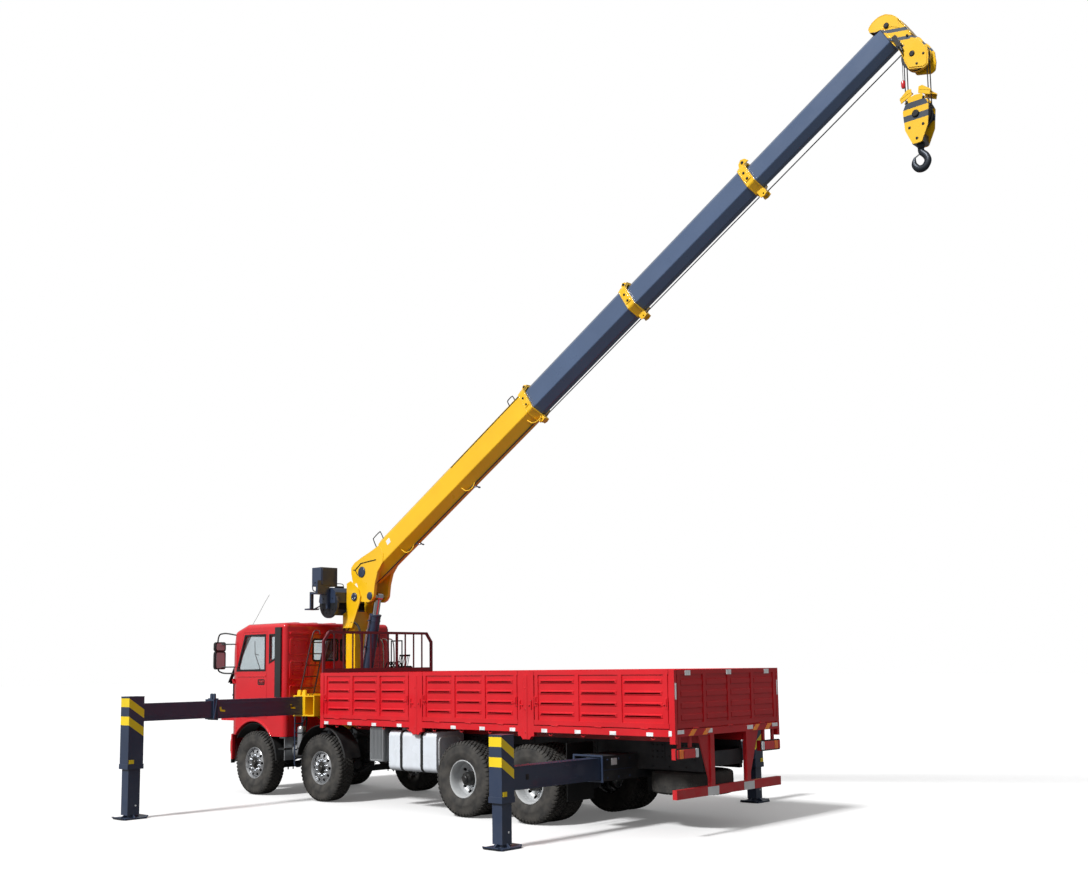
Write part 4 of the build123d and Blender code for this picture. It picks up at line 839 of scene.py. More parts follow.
        wrapped(blinker, bumper, 42, 55, 0.735, 0.925, side, inner=0.004, outer=0.014)
        for angle in (17, 30):
            a = math.radians(angle)
            (cx, cy), r = bumper
            at = Vector((cx + r * math.cos(a), side * (cy + r * math.sin(a)), 0.83))
            out = Vector((math.cos(a), side * math.sin(a), 0))
            lamp.rod(at - out * 0.01, at + out * 0.022, 0.070, 24)
    make("headlamp_frames", lamp_frame, look["black"], "chassis", "black_plastic", 0.004)
    make("headlamps", lamp, look["clear_lens"], "chassis", "window_glass", 0.004)
    make("front_blinkers", blinker, look["amber"], "chassis", "window_glass", 0.004)
    intake = Form()
    intake.box((1.128, 1.147), (-0.46, 0.46), (0.600, 0.645))
    intake.box((1.128, 1.147), (-0.46, 0.46), (0.690, 0.735))
    frame_bar(intake, "x", 1.132, rounded(-0.52, 0.52, 0.575, 0.905, 0.05), rounded(-0.49, 0.49, 0.605, 0.875, 0.03),
              0.018)
    make("bumper_intake", intake, look["black"], "chassis", "black_plastic", 0.003)
    plate = Form()
    plate.box((1.136, 1.150), (-0.24, 0.24), (0.755, 0.865))
    make("front_plate", plate, look["white"], "chassis", "white_paint", 0.004)

    # doors: seam crease, handle and lower lamp, riding with each door
    for name, side in SIDES:
        body = f"door_{name}"
        face = side * (CAB_HALF - 0.002)
        trim = Form()
        trim.prism("z", [(-0.37, face), (-0.37, face + side * 0.010), (0.52, face + side * 0.010), (0.52, face)],
                   1.625, 1.645)
        trim.prism("z", [(-0.37, face), (-0.37, face + side * 0.012), (0.50, face + side * 0.012), (0.50, face)],
                   2.095, 2.125)
        make(f"door_creases_{name}", trim, look["red"], body, "red_paint", 0.006, 3)
        grip = Form()
        frame_bar(grip, "y", side * (CAB_HALF - 0.004), rounded(-0.335, -0.125, 1.955, 2.055, 0.03),
                  rounded(-0.315, -0.145, 1.975, 2.035, 0.015), side * 0.010)
        grip.route(smooth([(-0.30, side * 1.202, 2.005), (-0.28, side * 1.228, 2.005), (-0.18, side * 1.228, 2.005),
                           (-0.16, side * 1.202, 2.005)]), 0.010)
        edge_outer = [(-0.362, 2.198), (0.560, 2.198), (0.296, 2.862), (-0.362, 2.862)]
        edge_inner = [(-0.328, 2.232), (0.506, 2.232), (0.268, 2.828), (-0.328, 2.828)]
        frame_bar(grip, "y", side * (CAB_HALF - 0.006), edge_outer, edge_inner, side * 0.014)
        grip.box((-0.155, -0.095), sorted((side * 1.19, side * 1.212)), (1.44, 1.58))
        make(f"door_trim_{name}", grip, look["black"], body, "black_plastic", 0.003)

    # arch lips, antenna, mirror glass and roof marker lamps
    lips = Form()
    for side in (-1, 1):
        outline = [(0.712 * math.cos(a), 0.60 + 0.712 * math.sin(a)) for a in
                   (math.radians(40 + 100 * k / 24) for k in range(25))]
        rings = []
        for x, z in outline:
            out = Vector((x, 0, z - 0.60)).normalized()
            rings.append([Vector((x, side * (CAB_HALF - 0.01), z)) - out * 0.008,
                          Vector((x, side * (CAB_HALF + 0.018), z)) - out * 0.008,
                          Vector((x, side * (CAB_HALF + 0.018), z)) + out * 0.020,
                          Vector((x, side * (CAB_HALF - 0.01), z)) + out * 0.030])
        lips.skin(rings)
    make("arch_lips", lips, look["red"], "chassis", "red_paint", 0.004)
    mast = Form()
    mast.rod((0.42, 0.98, 2.96), (0.42, 0.98, 3.03), 0.022, 14, 0.012)
    mast.route([(0.42, 0.98, 3.02), (0.30, 0.94, 3.20), (0.16, 0.90, 3.42), (0.04, 0.86, 3.60)], 0.0035, 6)
    make("antenna", mast, look["black"], "chassis", "black_plastic", 0.0)
    panes = Form()
    shells = Form()
    for side in (-1, 1):
        for z0, z1 in ((2.25, 2.56), (2.58, 2.73)):
            outer = rounded(side * 1.34 - 0.112, side * 1.34 + 0.112, z0 - 0.012, z1 + 0.012, 0.04)
            inner = rounded(side * 1.34 - 0.088, side * 1.34 + 0.088, z0 + 0.012, z1 - 0.012, 0.03)
            frame_bar(shells, "x", 0.895, outer, inner, -0.022)
            bulge = [[(x, side * 1.34 + (y - side * 1.34) * k, (z0 + z1) / 2 + (z - (z0 + z1) / 2) * k)
                      for y, z in outer] for x, k in ((0.885, 1.0), (0.935, 1.0), (0.965, 0.86), (0.980, 0.6))]
            shells.skin(bulge)
            panes.prism("x", inner, 0.872, 0.882)
        shells.route(smooth([(0.60, side * 1.14, 2.86), (0.84, side * 1.30, 2.90), (0.93, side * 1.36, 2.80),
                             (0.93, side * 1.36, 2.30), (0.90, side * 1.30, 2.18), (0.72, side * 1.16, 2.16)]), 0.014)
    make("mirror_shells", shells, look["black"], "chassis", "black_plastic", 0.004)
    make("mirror_panes", panes, look["mirror"], "chassis", "chrome_rod", 0.002)
    marks = Form()
    for y in (-0.75, -0.25, 0.25, 0.75):
        marks.prism("y", [(0.34, 3.016), (0.38, 3.046), (0.44, 3.030), (0.46, 2.978)], y - 0.05, y + 0.05)
    make("roof_marker_lamps", marks, look["amber"], "chassis", "window_glass", 0.006, 3)

    # steps and wheel housings
    guard = Form()
    for x, start, end in ((AXLES[0], 35, 178), (AXLES[1], 12, 168)):
        for side in (-1, 1):
            rings = []
            for k in range(29):
                a = math.radians(start + (end - start) * k / 28)
                c, s = math.cos(a), math.sin(a)
                ring = []
                for r, y in ((0.668, 0.84), (0.676, 0.84), (0.676, 1.165), (0.662, 1.185), (0.654, 1.18),
                             (0.668, 1.160)):
                    ring.append((x + r * c, side * y, HUB_Z + 0.045 + r * s))
                rings.append(ring)
            guard.skin(rings)
    for side in (-1, 1):
        for z in (0.82, 1.10):
            guard.box((-0.90, -0.73), sorted((side * 0.92, side * 1.17)), (z, z + 0.03))
            for k in range(5):
                guard.box((-0.885 + 0.032 * k, -0.872 + 0.032 * k), sorted((side * 0.95, side * 1.14)),
                          (z + 0.03, z + 0.036))
    make("mudguards", guard, look["black"], "chassis", "black_plastic", 0.002)


# Chassis
RAIL_FACE = 0.465


def build_chassis(look):
    plates, bolts = Form(), Form()
    for side in (-1, 1):
        face = side * RAIL_FACE
        for x in (-1.15, -2.55, -3.15, -4.95, -6.12, -7.35, -8.55, -9.05):
            plates.box((x - 0.12, x + 0.12), sorted((face, face + side * 0.010)), (0.93, 1.16))
            spots = [(x + dx, face + side * 0.010, z) for dx in (-0.08, 0, 0.08) for z in (0.97, 1.05, 1.135)]
            bolts.hexes(spots, "y", 0.011, side * 0.012)
        rows = [(-0.9 - 0.28 * k, face, z) for k in range(30) for z in (0.845, 0.99)]
        bolts.hexes([p for p in rows if min(abs(p[0] + 8.08), abs(p[0] + 7.82)) > 0.16], "y", 0.009, side * 0.010)
    make("rail_plates", plates, look["frame"], "chassis", "black_frame", 0.002)
    make("rail_bolts", bolts, look["hub"], "chassis", "black_frame", 0.0)

    # springs, shock absorbers, brake chambers and rods
    springs, steel, dark = Form(), Form(), Form()
    for x in AXLES[:2]:
        for side in (-1, 1):
            y0, y1 = sorted((side * 0.386, side * 0.474))
            for leaf in range(1, 6):
                reach = 0.60 - 0.09 * leaf
                rings = []
                for k in range(9):
                    t = -1 + k / 4
                    z = 0.526 - 0.016 * leaf + 0.20 * (t * reach / 0.70) ** 2
                    rings.append([(x + t * reach, y0, z), (x + t * reach, y1, z), (x + t * reach, y1, z + 0.013),
                                  (x + t * reach, y0, z + 0.013)])
                springs.skin(rings)
            for dx in (-0.075, 0.075):
                for y in (y0 - 0.012, y1 + 0.012):
                    steel.rod((x + dx, y, 0.40), (x + dx, y, 0.655), 0.011, 10)
                steel.route([(x + dx, y0 - 0.012, 0.65), (x + dx, y0 + 0.01, 0.668), (x + dx, y1 - 0.01, 0.668),
                             (x + dx, y1 + 0.012, 0.65)], 0.011)
            dark.rod((x + 0.20, side * 0.53, 0.50), (x + 0.30, side * 0.53, 0.78), 0.034, 16)
            dark.rod((x + 0.30, side * 0.53, 0.76), (x + 0.35, side * 0.53, 0.98), 0.045, 16)
            dark.rod((x - 0.14, side * 0.58, 0.60), (x - 0.26, side * 0.58, 0.60), 0.085, 24)
    for x in AXLES[2:]:
        for side in (-1, 1):
            dark.rod((x + 0.13, side * 0.52, 0.72), (x + 0.30, side * 0.52, 0.74), 0.088, 24)
            dark.rod((x + 0.30, side * 0.52, 0.74), (x + 0.44, side * 0.52, 0.755), 0.078, 24)
            steel.rod((x + 0.13, side * 0.52, 0.72), (x + 0.02, side * 0.55, 0.69), 0.012, 8)
        dark.lathe([(0, -0.04), (0.13, -0.04), (0.15, 0.0), (0.13, 0.05), (0.08, 0.09), (0, 0.10)],
                   (x - 0.215, 0, HUB_Z), "x", 32)
    for y in (-0.80, 0.80):
        steel.rod((AXLES[0] - 0.20, y, HUB_Z - 0.118), (AXLES[0] - 0.20, y - math.copysign(0.02, y), HUB_Z - 0.16),
                  0.014, 10)
    make("spring_leaves", springs, look["frame"], "chassis", "black_frame", 0.0015)
    make("u_bolts", steel, look["hub"], "chassis", "black_frame", 0.0)
    make("brake_chambers", dark, look["frame"], "chassis", "black_frame", 0.004)

    for number, (y, z, radius) in enumerate(((0.49, 1.065, 0.008), (0.485, 1.045, 0.006), (-0.49, 1.06, 0.008))):
        pipe(f"air_line_{number}", [(-1.0, y, z), (-2.6, y, z - 0.01), (-4.2, y, z), (-5.6, y, z - 0.015),
                                    (-7.4, y, z)], radius, look["hose"], "chassis", "black_plastic")
    hoses = (
        [(-0.80, 0.55, 1.02), (-0.92, 0.72, 1.16), (-1.05, 0.80, 1.30), (-1.12, 0.86, 1.42)],
        [(-0.84, 0.60, 0.86), (-0.95, 0.90, 0.98), (-1.06, 0.93, 1.22), (-1.20, 0.90, 1.43)],
        [(-1.95, 0.50, 1.12), (-2.10, 0.62, 1.22), (-2.30, 0.60, 1.14), (-2.55, 0.50, 1.05)],
    )
    for number, points in enumerate(hoses):
        pipe(f"chassis_hose_{number}", points, 0.016, look["hose"], "chassis", "black_plastic")

    # battery box ladder and silver reservoir by the front axles
    ladder = Form()
    for y in (0.93, 1.09):
        ladder.rod((-1.10, y, 0.60), (-1.10, y, 1.40), 0.013, 10)
    for k in range(5):
        ladder.rod((-1.10, 0.93, 0.68 + 0.15 * k), (-1.10, 1.09, 0.68 + 0.15 * k), 0.011, 10)
    ladder.route([(-1.10, 0.93, 0.61), (-1.10, 0.94, 0.56), (-1.10, 0.98, 0.535), (-1.10, 1.04, 0.535),
                  (-1.10, 1.08, 0.56), (-1.10, 1.09, 0.61)], 0.013)
    make("step_ladder", ladder, look["slate"], "chassis", "slate_paint", 0.0)
    tank = Form()
    tank.lathe([(0, 0), (0.057, 0.004), (0.073, 0.03), (0.075, 0.06), (0.075, 0.44), (0.073, 0.47), (0.057, 0.496),
                (0, 0.50)], (-1.205, 1.02, 0.74), "z", 36)
    make("reservoir", tank, look["bright"], "chassis", "silver_metal", 0.0)
    holders = Form()
    for z in (0.86, 1.12):
        holders.lathe([(0.076, z - 0.012), (0.081, z - 0.012), (0.081, z + 0.012), (0.076, z + 0.012)],
                      (-1.205, 1.02, 0), "z", 36)
        holders.box((-1.225, -1.185), (0.46, 0.942), (z - 0.02, z + 0.02))
    make("reservoir_bands", holders, look["frame"], "chassis", "black_frame", 0.002)

    # fuel tank straps, cap and the silencer box with its slots
    (x0, x1), (y0, y1), (z0, z1) = (span("fuel_tank", k) for k in range(3))
    y0, z0, z1, corner = 0.60, 0.61, 1.24, 0.09
    straps = Form()
    for x in (x0 + 0.33, x1 - 0.30):
        outer = rounded(y0 - 0.008, y1 + 0.008, z0 - 0.008, z1 + 0.008, corner + 0.008)
        inner = rounded(y0, y1, z0, z1, corner)
        frame_bar(straps, "x", x - 0.028, outer, inner, 0.056)
        straps.box((x - 0.04, x + 0.04), (0.56, 0.61), (z0 + 0.02, z0 + 0.06))
    make("tank_straps", straps, look["black"], "chassis", "black_plastic", 0.002)
    ends = Form()
    for x, push in ((x0, -1), (x1, 1)):
        frame_bar(ends, "x", x - push * 0.004, rounded(y0 + 0.05, y1 - 0.05, z0 + 0.06, z1 - 0.06, 0.10),
                  rounded(y0 + 0.085, y1 - 0.085, z0 + 0.095, z1 - 0.095, 0.07), push * 0.014)
    ends.lathe([(0, 0), (0.045, 0), (0.045, 0.035), (0.036, 0.045), (0, 0.045)], (x1 - 0.20, 1.02, z1 - 0.003), "z",
               28)
    make("tank_pressings", ends, look["white"], "chassis", "white_paint", 0.006, 3)
    box_x = (-3.62, -3.29)
    slats = Form()
    for k in range(9):
        x = box_x[0] + 0.030 + 0.034 * k
        slats.box((x - 0.009, x + 0.009), (1.188, 1.200), (0.78, 1.25))
    for k in range(12):
        z = 0.80 + 0.038 * k
        slats.box((box_x[0] - 0.010, box_x[0] + 0.002), (0.68, 1.12), (z - 0.009, z + 0.009))
    frame_bar(slats, "y", 1.188, rounded(box_x[0], box_x[1], 0.742, 1.278, 0.02),
              rounded(box_x[0] + 0.02, box_x[1] - 0.02, 0.765, 1.255, 0.01), 0.016)
    make("silencer_slats", slats, look["alloy"], "chassis", "silver_metal", 0.003)


# Bed
BED_REAR, BED_HALF = -9.43, 1.25


def panel_ribs(look):
    for name, side in SIDES:
        for number in (1, 2, 3):
            node = f"side_panel_{name}_{number}"
            x0, x1 = span(node, 0)
            uprights = [x0 + 0.045 + (x1 - x0 - 0.09) * k / 3 for k in range(4)]
            sheet = side * (BED_HALF - 0.015)
            ribs = Form()
            for a, b in zip(uprights, uprights[1:]):
                for row in range(4):
                    z = 1.555 + 0.150 * row
                    low, high = a + 0.058, b - 0.058
                    outline = [(low, z - 0.030), (high, z - 0.030), (high - 0.012, z + 0.030),
                               (low + 0.012, z + 0.030)]
                    inner = [(low + 0.02, z - 0.012), (high - 0.02, z - 0.012), (high - 0.03, z + 0.012),
                             (low + 0.03, z + 0.012)]
                    ribs.skin([[(x, sheet, zz) for x, zz in outline],
                               [(x, sheet + side * 0.013, zz) for x, zz in inner]])
            make(f"panel_ribs_{name}_{number}", ribs, look["bed_red"], node, "red_paint", 0.003)
            latch = Form()
            for x in (x0 + 0.03, x1 - 0.03):
                push = 1 if x < (x0 + x1) / 2 else -1
                face = side * BED_HALF
                latch.box((x - 0.022, x + 0.022), sorted((face, face + side * 0.008)), (1.66, 1.80))
                latch.rod((x, face + side * 0.014, 1.69), (x, face + side * 0.014, 1.79), 0.008, 10)
                latch.rod((x, face + side * 0.012, 1.72), (x + push * 0.055, face + side * 0.016, 1.705), 0.007, 8)
            make(f"panel_latches_{name}_{number}", latch, look["bed_red"], node, "red_paint", 0.0015)


def build_bed(look):
    panel_ribs(look)
    gate = Form()
    half = 1.19
    uprights = [-half + 0.04 + (2 * half - 0.08) * k / 4 for k in range(5)]
    for a, b in zip(uprights, uprights[1:]):
        for row in range(4):
            z = 1.545 + 0.150 * row
            outline = [(a + 0.050, z - 0.044), (b - 0.050, z - 0.044), (b - 0.050, z + 0.044), (a + 0.050, z + 0.044)]
            inner = [(a + 0.056, z - 0.030), (b - 0.056, z - 0.030), (b - 0.056, z + 0.030), (a + 0.056, z + 0.030)]
            gate.skin([[(BED_REAR + 0.0145, y, zz) for y, zz in outline],
                       [(BED_REAR + 0.001, y, zz) for y, zz in inner]])
    make("tailgate_ribs", gate, look["gate_red"], "tailgate", "red_paint", 0.003)
    caps = Form()
    for y in (-0.95, 0.0, 0.95):
        caps.box((BED_REAR - 0.003, BED_REAR + 0.001), (y - 0.06, y + 0.06), (2.085, 2.150))
    make("tailgate_reflectors", caps, look["white_reflector_painted_glow"], "tailgate", "white_paint", 0.001)

    # fixed reflectors and marker strips
    whites, ambers = Form(), Form()
    for side in (-1, 1):
        face = side * BED_HALF
        for k in range(12):
            x = -2.20 - 0.62 * k
            if any(low - 0.09 < x < high + 0.09 for low, high in ((-4.60, -4.29), (-6.96, -6.65))):
                continue
            whites.box((x - 0.055, x + 0.055), sorted((face - side * 0.001, face + side * 0.003)), (1.302, 1.352))
        for x in (-4.445, -6.805):
            whites.box((x - 0.018, x + 0.018), sorted((face - side * 0.001, face + side * 0.003)), (1.245, 1.330))
        whites.box((-9.375, -9.325), sorted((face - side * 0.001, face + side * 0.003)), (1.31, 1.38))
        whites.box((BED_REAR - 0.003, BED_REAR + 0.001), sorted((side * 1.205, side * 1.235)), (1.78, 1.99))
        whites.box((BED_REAR - 0.003, BED_REAR + 0.001), sorted((side * 1.06, side * 1.20)), (1.335, 1.385))
        whites.box((BED_REAR - 0.003, BED_REAR + 0.001), sorted((side * 0.42, side * 0.56)), (1.325, 1.380))
        for y in (0.55, 0.86):
            lean = 0.09
            ambers.prism("x", [(side * y, 1.305), (side * (y + 0.10), 1.305), (side * (y + 0.10) - lean, 1.385),
                               (side * y - lean, 1.385)], BED_REAR - 0.003, BED_REAR + 0.001)
    make("bed_reflectors", whites, look["white_reflector_painted_glow"], "chassis", "white_paint", 0.001)
    make("rear_chevrons", ambers, look["amber_tape_painted_glow"], "chassis", "yellow_paint", 0.0005)

    # post brackets, rope hooks and the inside of the posts
    posts = Form()
    for low, high in ((-4.60, -4.29), (-6.96, -6.65)):
        middle = (low + high) / 2
        for side in (-1, 1):
            face = side * BED_HALF
            posts.skin([[(middle + dx * w, face - side * 0.002, z) for dx in (-1, 1)]
                        + [(middle + dx * w * 0.6, face + side * 0.014, z) for dx in (1, -1)]
                        for z, w in ((1.200, 0.042), (1.55, 0.046), (2.10, 0.046))])
            posts.hexes([(middle, face + side * 0.012, z) for z in (1.30, 1.62, 1.92)], "y", 0.012, side * 0.010)
            for dx in (-0.11, 0.11):
                posts.rod((middle + dx, face + side * 0.008, 1.62), (middle + dx, face + side * 0.008, 1.75), 0.010,
                          10)
                posts.rod((middle + dx, face + side * 0.004, 1.685), (middle + dx * 0.5, face + side * 0.010, 1.67),
                          0.008, 8)
    for side in (-1, 1):
        face = side * BED_HALF
        for k in range(12):
            x = -2.45 - 0.60 * k
            posts.route(smooth([(x - 0.03, face - side * 0.03, 1.302), (x - 0.03, face - side * 0.03, 1.272),
                                (x, face - side * 0.03, 1.258), (x + 0.03, face - side * 0.03, 1.272),
                                (x + 0.03, face - side * 0.03, 1.302)], 3), 0.006, 6)
    make("bed_post_caps", posts, look["bed_red"], "chassis", "red_paint", 0.004)
    floor = Form()
    for k in range(27):
        y = -1.17 + 0.09 * k
        floor.prism("y", [(BED_REAR + 0.07, 1.4185), (-2.11, 1.4185), (-2.11, 1.4235), (BED_REAR + 0.07, 1.4235)],
                    y - 0.010, y + 0.010)
    make("bed_floor_ribs", floor, look["bed_red"], "chassis", "red_paint", 0.002)

    # tail lamps with their three lenses, mud flaps
    red, orange, clear, rims = Form(), Form(), Form(), Form()
    for side in (-1, 1):
        low = 0.76
        for form, a, b in ((clear, 0.0, 0.07), (red, 0.075, 0.33), (orange, 0.335, 0.42), (red, 0.425, 0.475)):
            y0, y1 = sorted((side * (low + a), side * (low + b)))
            form.prism("x", rounded(y0 + 0.003, y1 - 0.003, 1.022, 1.138, 0.012), BED_REAR - 0.016, BED_REAR + 0.006)
        outline = rounded(*sorted((side * (low - 0.008), side * (low + 0.488))), 1.005, 1.155, 0.025)
        rims.prism("x", outline, BED_REAR - 0.004, BED_REAR + 0.010)
    make("tail_lamps_red", red, look["red_lens"], "chassis", "window_glass", 0.004)
    make("tail_lamps_orange", orange, look["amber"], "chassis", "window_glass", 0.004)
    make("tail_lamps_clear", clear, look["clear_lens"], "chassis", "window_glass", 0.004)
    make("tail_lamp_frames", rims, look["black"], "chassis", "black_plastic", 0.004)
    flaps = Form()
    for side in (-1, 1):
        y0, y1 = sorted((side * 0.62, side * 1.19))
        for x in (-7.52,):
            flaps.prism("y", [(x, 0.36), (x + 0.008, 0.36), (x + 0.012, 1.16), (x, 1.16)], y0, y1)
    make("mud_flaps", flaps, look["rubber"], "chassis", "black_plastic", 0.003)


# Crane
PIVOT = (-1.64, 3.50)
RISE = math.radians(31.25)
SECTIONS = ((0.595, 0.380), (0.546, 0.336), (0.482, 0.292), (0.410, 0.244))
FLOORS = (-0.020, -0.004, 0.012, 0.028)
MIDDLES = tuple(floor + height / 2 for floor, (height, _) in zip(FLOORS, SECTIONS))
SECTION_ENDS = (5.200, 7.610, 10.080, 12.480)
FLAT_SHARE = 0.25
KNEE_SHARE = 0.57
HEAD_SHEAVE = (12.580, -0.262)
TOP_SHEAVE = (12.560, 0.330)
ROPE_LEVEL = -0.060
LUFF_BASE = Vector((-1.70, 0, 1.985))
LUFF_TOP = Vector((-2.04, 0, 3.50))
SLEW_X = -1.48
ALONG = Vector((-math.cos(RISE), 0, math.sin(RISE)))
SQUARE = Vector((math.sin(RISE), 0, math.cos(RISE)))


def boom(u, v, y=0.0):
    """A point u along the boom from its pivot and v square to it."""
    return Vector((PIVOT[0], y, PIVOT[1])) + ALONG * u + SQUARE * v


def boom_slab(form, outline, y0, y1):
    """An outline of (u, v) pushed across the boom."""
    return form.skin([[boom(u, v, y) for u, v in outline] for y in (y0, y1)])


def section_outline(index, grow):
    """A boom section as (y, v), larger all round by grow."""
    height, width = SECTIONS[index]
    h, w, middle = height / 2 + grow, width / 2 + grow, MIDDLES[index]
    half = [(w * FLAT_SHARE, h), (w, h * KNEE_SHARE), (w, -h * KNEE_SHARE), (w * FLAT_SHARE, -h)]
    return [(y, middle + v) for y, v in half] + [(-y, middle + v) for y, v in reversed(half)]


def build_boom(look):
    wires, marks = Form(), Form()
    ties, feet = Form(), Form()
    for u, reach, low, top, y in ((0.17, 0.030, 0.47, 0.575, 0.06), (0.995, 0.115, 0.41, 0.66, 0.13),
                                  (4.80, 0.070, 0.50, 0.65, 0.06)):
        wires.route(smooth([boom(u - reach, low, y), boom(u - reach, top - 0.03, y), boom(u - reach * 0.7, top, y),
                            boom(u + reach * 0.7, top, y), boom(u + reach, top - 0.03, y),
                            boom(u + reach, low, y)], 4), 0.009)
    make("boom_wire_hoops", wires, look["black"], "boom_base", "black_frame", 0.0)

    # round boss with its bolts on the foot plates
    boss, bolts = Form(), Form()
    for side in (-1, 1):
        at = boom(0.375, 0.285)
        face = side * 0.190
        boss.lathe([(0, face - side * 0.002), (0.098, face - side * 0.002), (0.098, face + side * 0.008),
                    (0.088, face + side * 0.016), (0.030, face + side * 0.018), (0, face + side * 0.018)],
                   (at.x, 0, at.z), "y", 36)
        pin = boom(0, 0)
        boss.lathe([(0, side * 0.205), (0.076, side * 0.205), (0.076, side * 0.232), (0.066, side * 0.240),
                    (0, side * 0.240)], (pin.x, 0, pin.z), "y", 36)
        bolts.hexes([(pin.x + 0.048 * math.cos(a), side * 0.240, pin.z + 0.048 * math.sin(a))
                     for a in (0.5, 2.07, 3.64, 5.21)], "y", 0.010, side * 0.008)
        boss.lathe([(0, side * 0.189), (0.070, side * 0.189), (0.070, side * 0.204), (0.060, side * 0.210),
                    (0, side * 0.210)], (LUFF_TOP.x, 0, LUFF_TOP.z), "y", 32)
        ties.route([boom(u, v, side * 0.197) for u, v in ((0.24, 0.42), (0.44, 0.43), (0.62, 0.345), (0.81, 0.25))],
                   0.007, 6)
        ties.route([boom(u, v, side * 0.197) for u, v in ((0.20, 0.45), (0.24, 0.42), (0.25, 0.33), (0.29, 0.24))],
                   0.007, 6)
    make("boom_bosses", boss, look["slate"], "boom_base", "slate_paint", 0.003)
    make("boom_boss_bolts", bolts, look["bright"], "boom_base", "silver_metal", 0.0)

    # doubling plates and weld straps at the foot's fold
    plates = Form()
    for side in (-1, 1):
        face = side * 0.190
        boom_slab(plates, [(0.985, 0.425), (1.028, 0.410), (1.036, 0.232), (0.950, 0.106), (0.722, 0.036),
                           (0.704, 0.058), (0.926, 0.128), (0.998, 0.240)], face - side * 0.004,
                  face + side * 0.008)
        for u, v in ((1.25, 0.33), (0.10, 0.16)):
            marks.skin([[boom(u + a, v + b, face + side * t) for a, b in ((-0.05, -0.045), (0.05, -0.045),
                                                                         (0.05, 0.045), (-0.05, 0.045))]
                        for t in (-0.001, 0.002)])
    make("boom_foot_straps", plates, look["yellow"], "boom_base", "yellow_paint", 0.003)
    make("boom_labels", marks, look["white"], "boom_base", "white_paint", 0.0)
    for u in (1.45, 3.22, 5.0):
        feet.route(smooth([boom(u - 0.05, 0.05, 0.12), boom(u + 0.02, -0.06, 0.12), boom(u + 0.13, -0.08, 0.09),
                           boom(u + 0.20, -0.015, 0.05)], 4), 0.010)
    make("rope_hooks", feet, look["yellow"], "boom_base", "yellow_paint", 0.0)
    under = [boom(0.44, -0.22, 0.155), boom(0.56, -0.09, 0.155), boom(0.68, -0.034, 0.06), boom(5.10, -0.034, 0.05)]
    ties.route(under, 0.009, 6)
    guards = Form()
    for u in (1.72, 3.35):
        guards.route(smooth([boom(u, -0.01, 0.045), boom(u + 0.02, -0.07, 0.06), boom(u + 0.07, -0.10, 0.03),
                             boom(u + 0.07, -0.10, -0.03), boom(u + 0.02, -0.07, -0.06), boom(u, -0.01, -0.045)], 4),
                     0.009)
    make("boom_lines", ties, look["hose"], "boom_base", "black_plastic", 0.0)
    make("rope_guards", guards, look["slate"], "boom_base", "slate_paint", 0.0)
    seam = Form()
    for side in (-1, 1):
        seam.route([boom(u, 0.449, side * 0.192) for u in (3.2, 5.05)], 0.006, 6)
    make("boom_edge_lines", seam, look["hose"], "boom_base", "black_plastic", 0.0)

    # collars: lips, side pads, ears and guide rollers at the mouth of each section
    for index, body in enumerate(("boom_base", "boom_2", "boom_3")):
        end, middle, floor = SECTION_ENDS[index], MIDDLES[index], FLOORS[index]
        w = SECTIONS[index][1] / 2 + 0.022
        knee = (SECTIONS[index][0] / 2 + 0.022) * KNEE_SHARE
        ring, bolt, roller = Form(), Form(), Form()
        for low in (end - 0.135, end - 0.012):
            outer, inner = section_outline(index, 0.028), section_outline(index, 0.018)
            rows = [[ring.bm.verts.new(boom(u, v, y)) for y, v in outline]
                    for outline, u in ((outer, low), (outer, low + 0.018), (inner, low + 0.018), (inner, low))]
            for k in range(4):
                near, far = rows[k], rows[(k + 1) % 4]
                for i in range(8):
                    ring.bm.faces.new((near[i], near[(i + 1) % 8], far[(i + 1) % 8], far[i]))
        for side in (-1, 1):
            ring.skin([[boom(u, middle + v, side * (w - 0.004 + t)) for u, v in
                        ((end - 0.115, knee * 0.55), (end - 0.020, knee * 0.55), (end - 0.020, -knee * 0.55),
                         (end - 0.115, -knee * 0.55))] for t in (0, 0.014)])
            for v in (-knee * 0.35, knee * 0.35):
                bolt.hexes([boom(end - 0.068, middle + v, side * (w + 0.010))], "y", 0.013, side * 0.012)
            boom_slab(ring, [(end - 0.105, floor - 0.005), (end - 0.005, floor - 0.005),
                             (end + 0.018, ROPE_LEVEL - 0.050), (end - 0.040, ROPE_LEVEL - 0.064),
                             (end - 0.098, ROPE_LEVEL - 0.050)], side * 0.050 - 0.006, side * 0.050 + 0.006)
        top = floor + SECTIONS[index][0]
        hump = [(0.00, 0.000), (0.02, 0.045), (0.06, 0.068), (0.10, 0.045), (0.12, 0.000)]
        size = 1.0 if index < 2 else 1.5
        boom_slab(ring, [(end - 0.13 + u * size, top + 0.010 + v * size) for u, v in hump], 0.030, 0.044)
        bolt.hexes([boom(end - 0.13 + 0.06 * size, top + 0.010 + 0.030 * size, 0.046)], "y", 0.016, 0.006)
        roller.rod(*(boom(end - 0.035, ROPE_LEVEL - 0.025, y) for y in (-0.056, 0.056)), 0.012, 12)
        make(f"collar_rings_{index + 1}", ring, look["yellow"], body, "yellow_paint", 0.003)
        make(f"collar_bolts_{index + 1}", bolt, look["hub"], body, "black_frame", 0.0)
        make(f"collar_rollers_{index + 1}", roller, look["bright"], body, "silver_metal", 0.0)

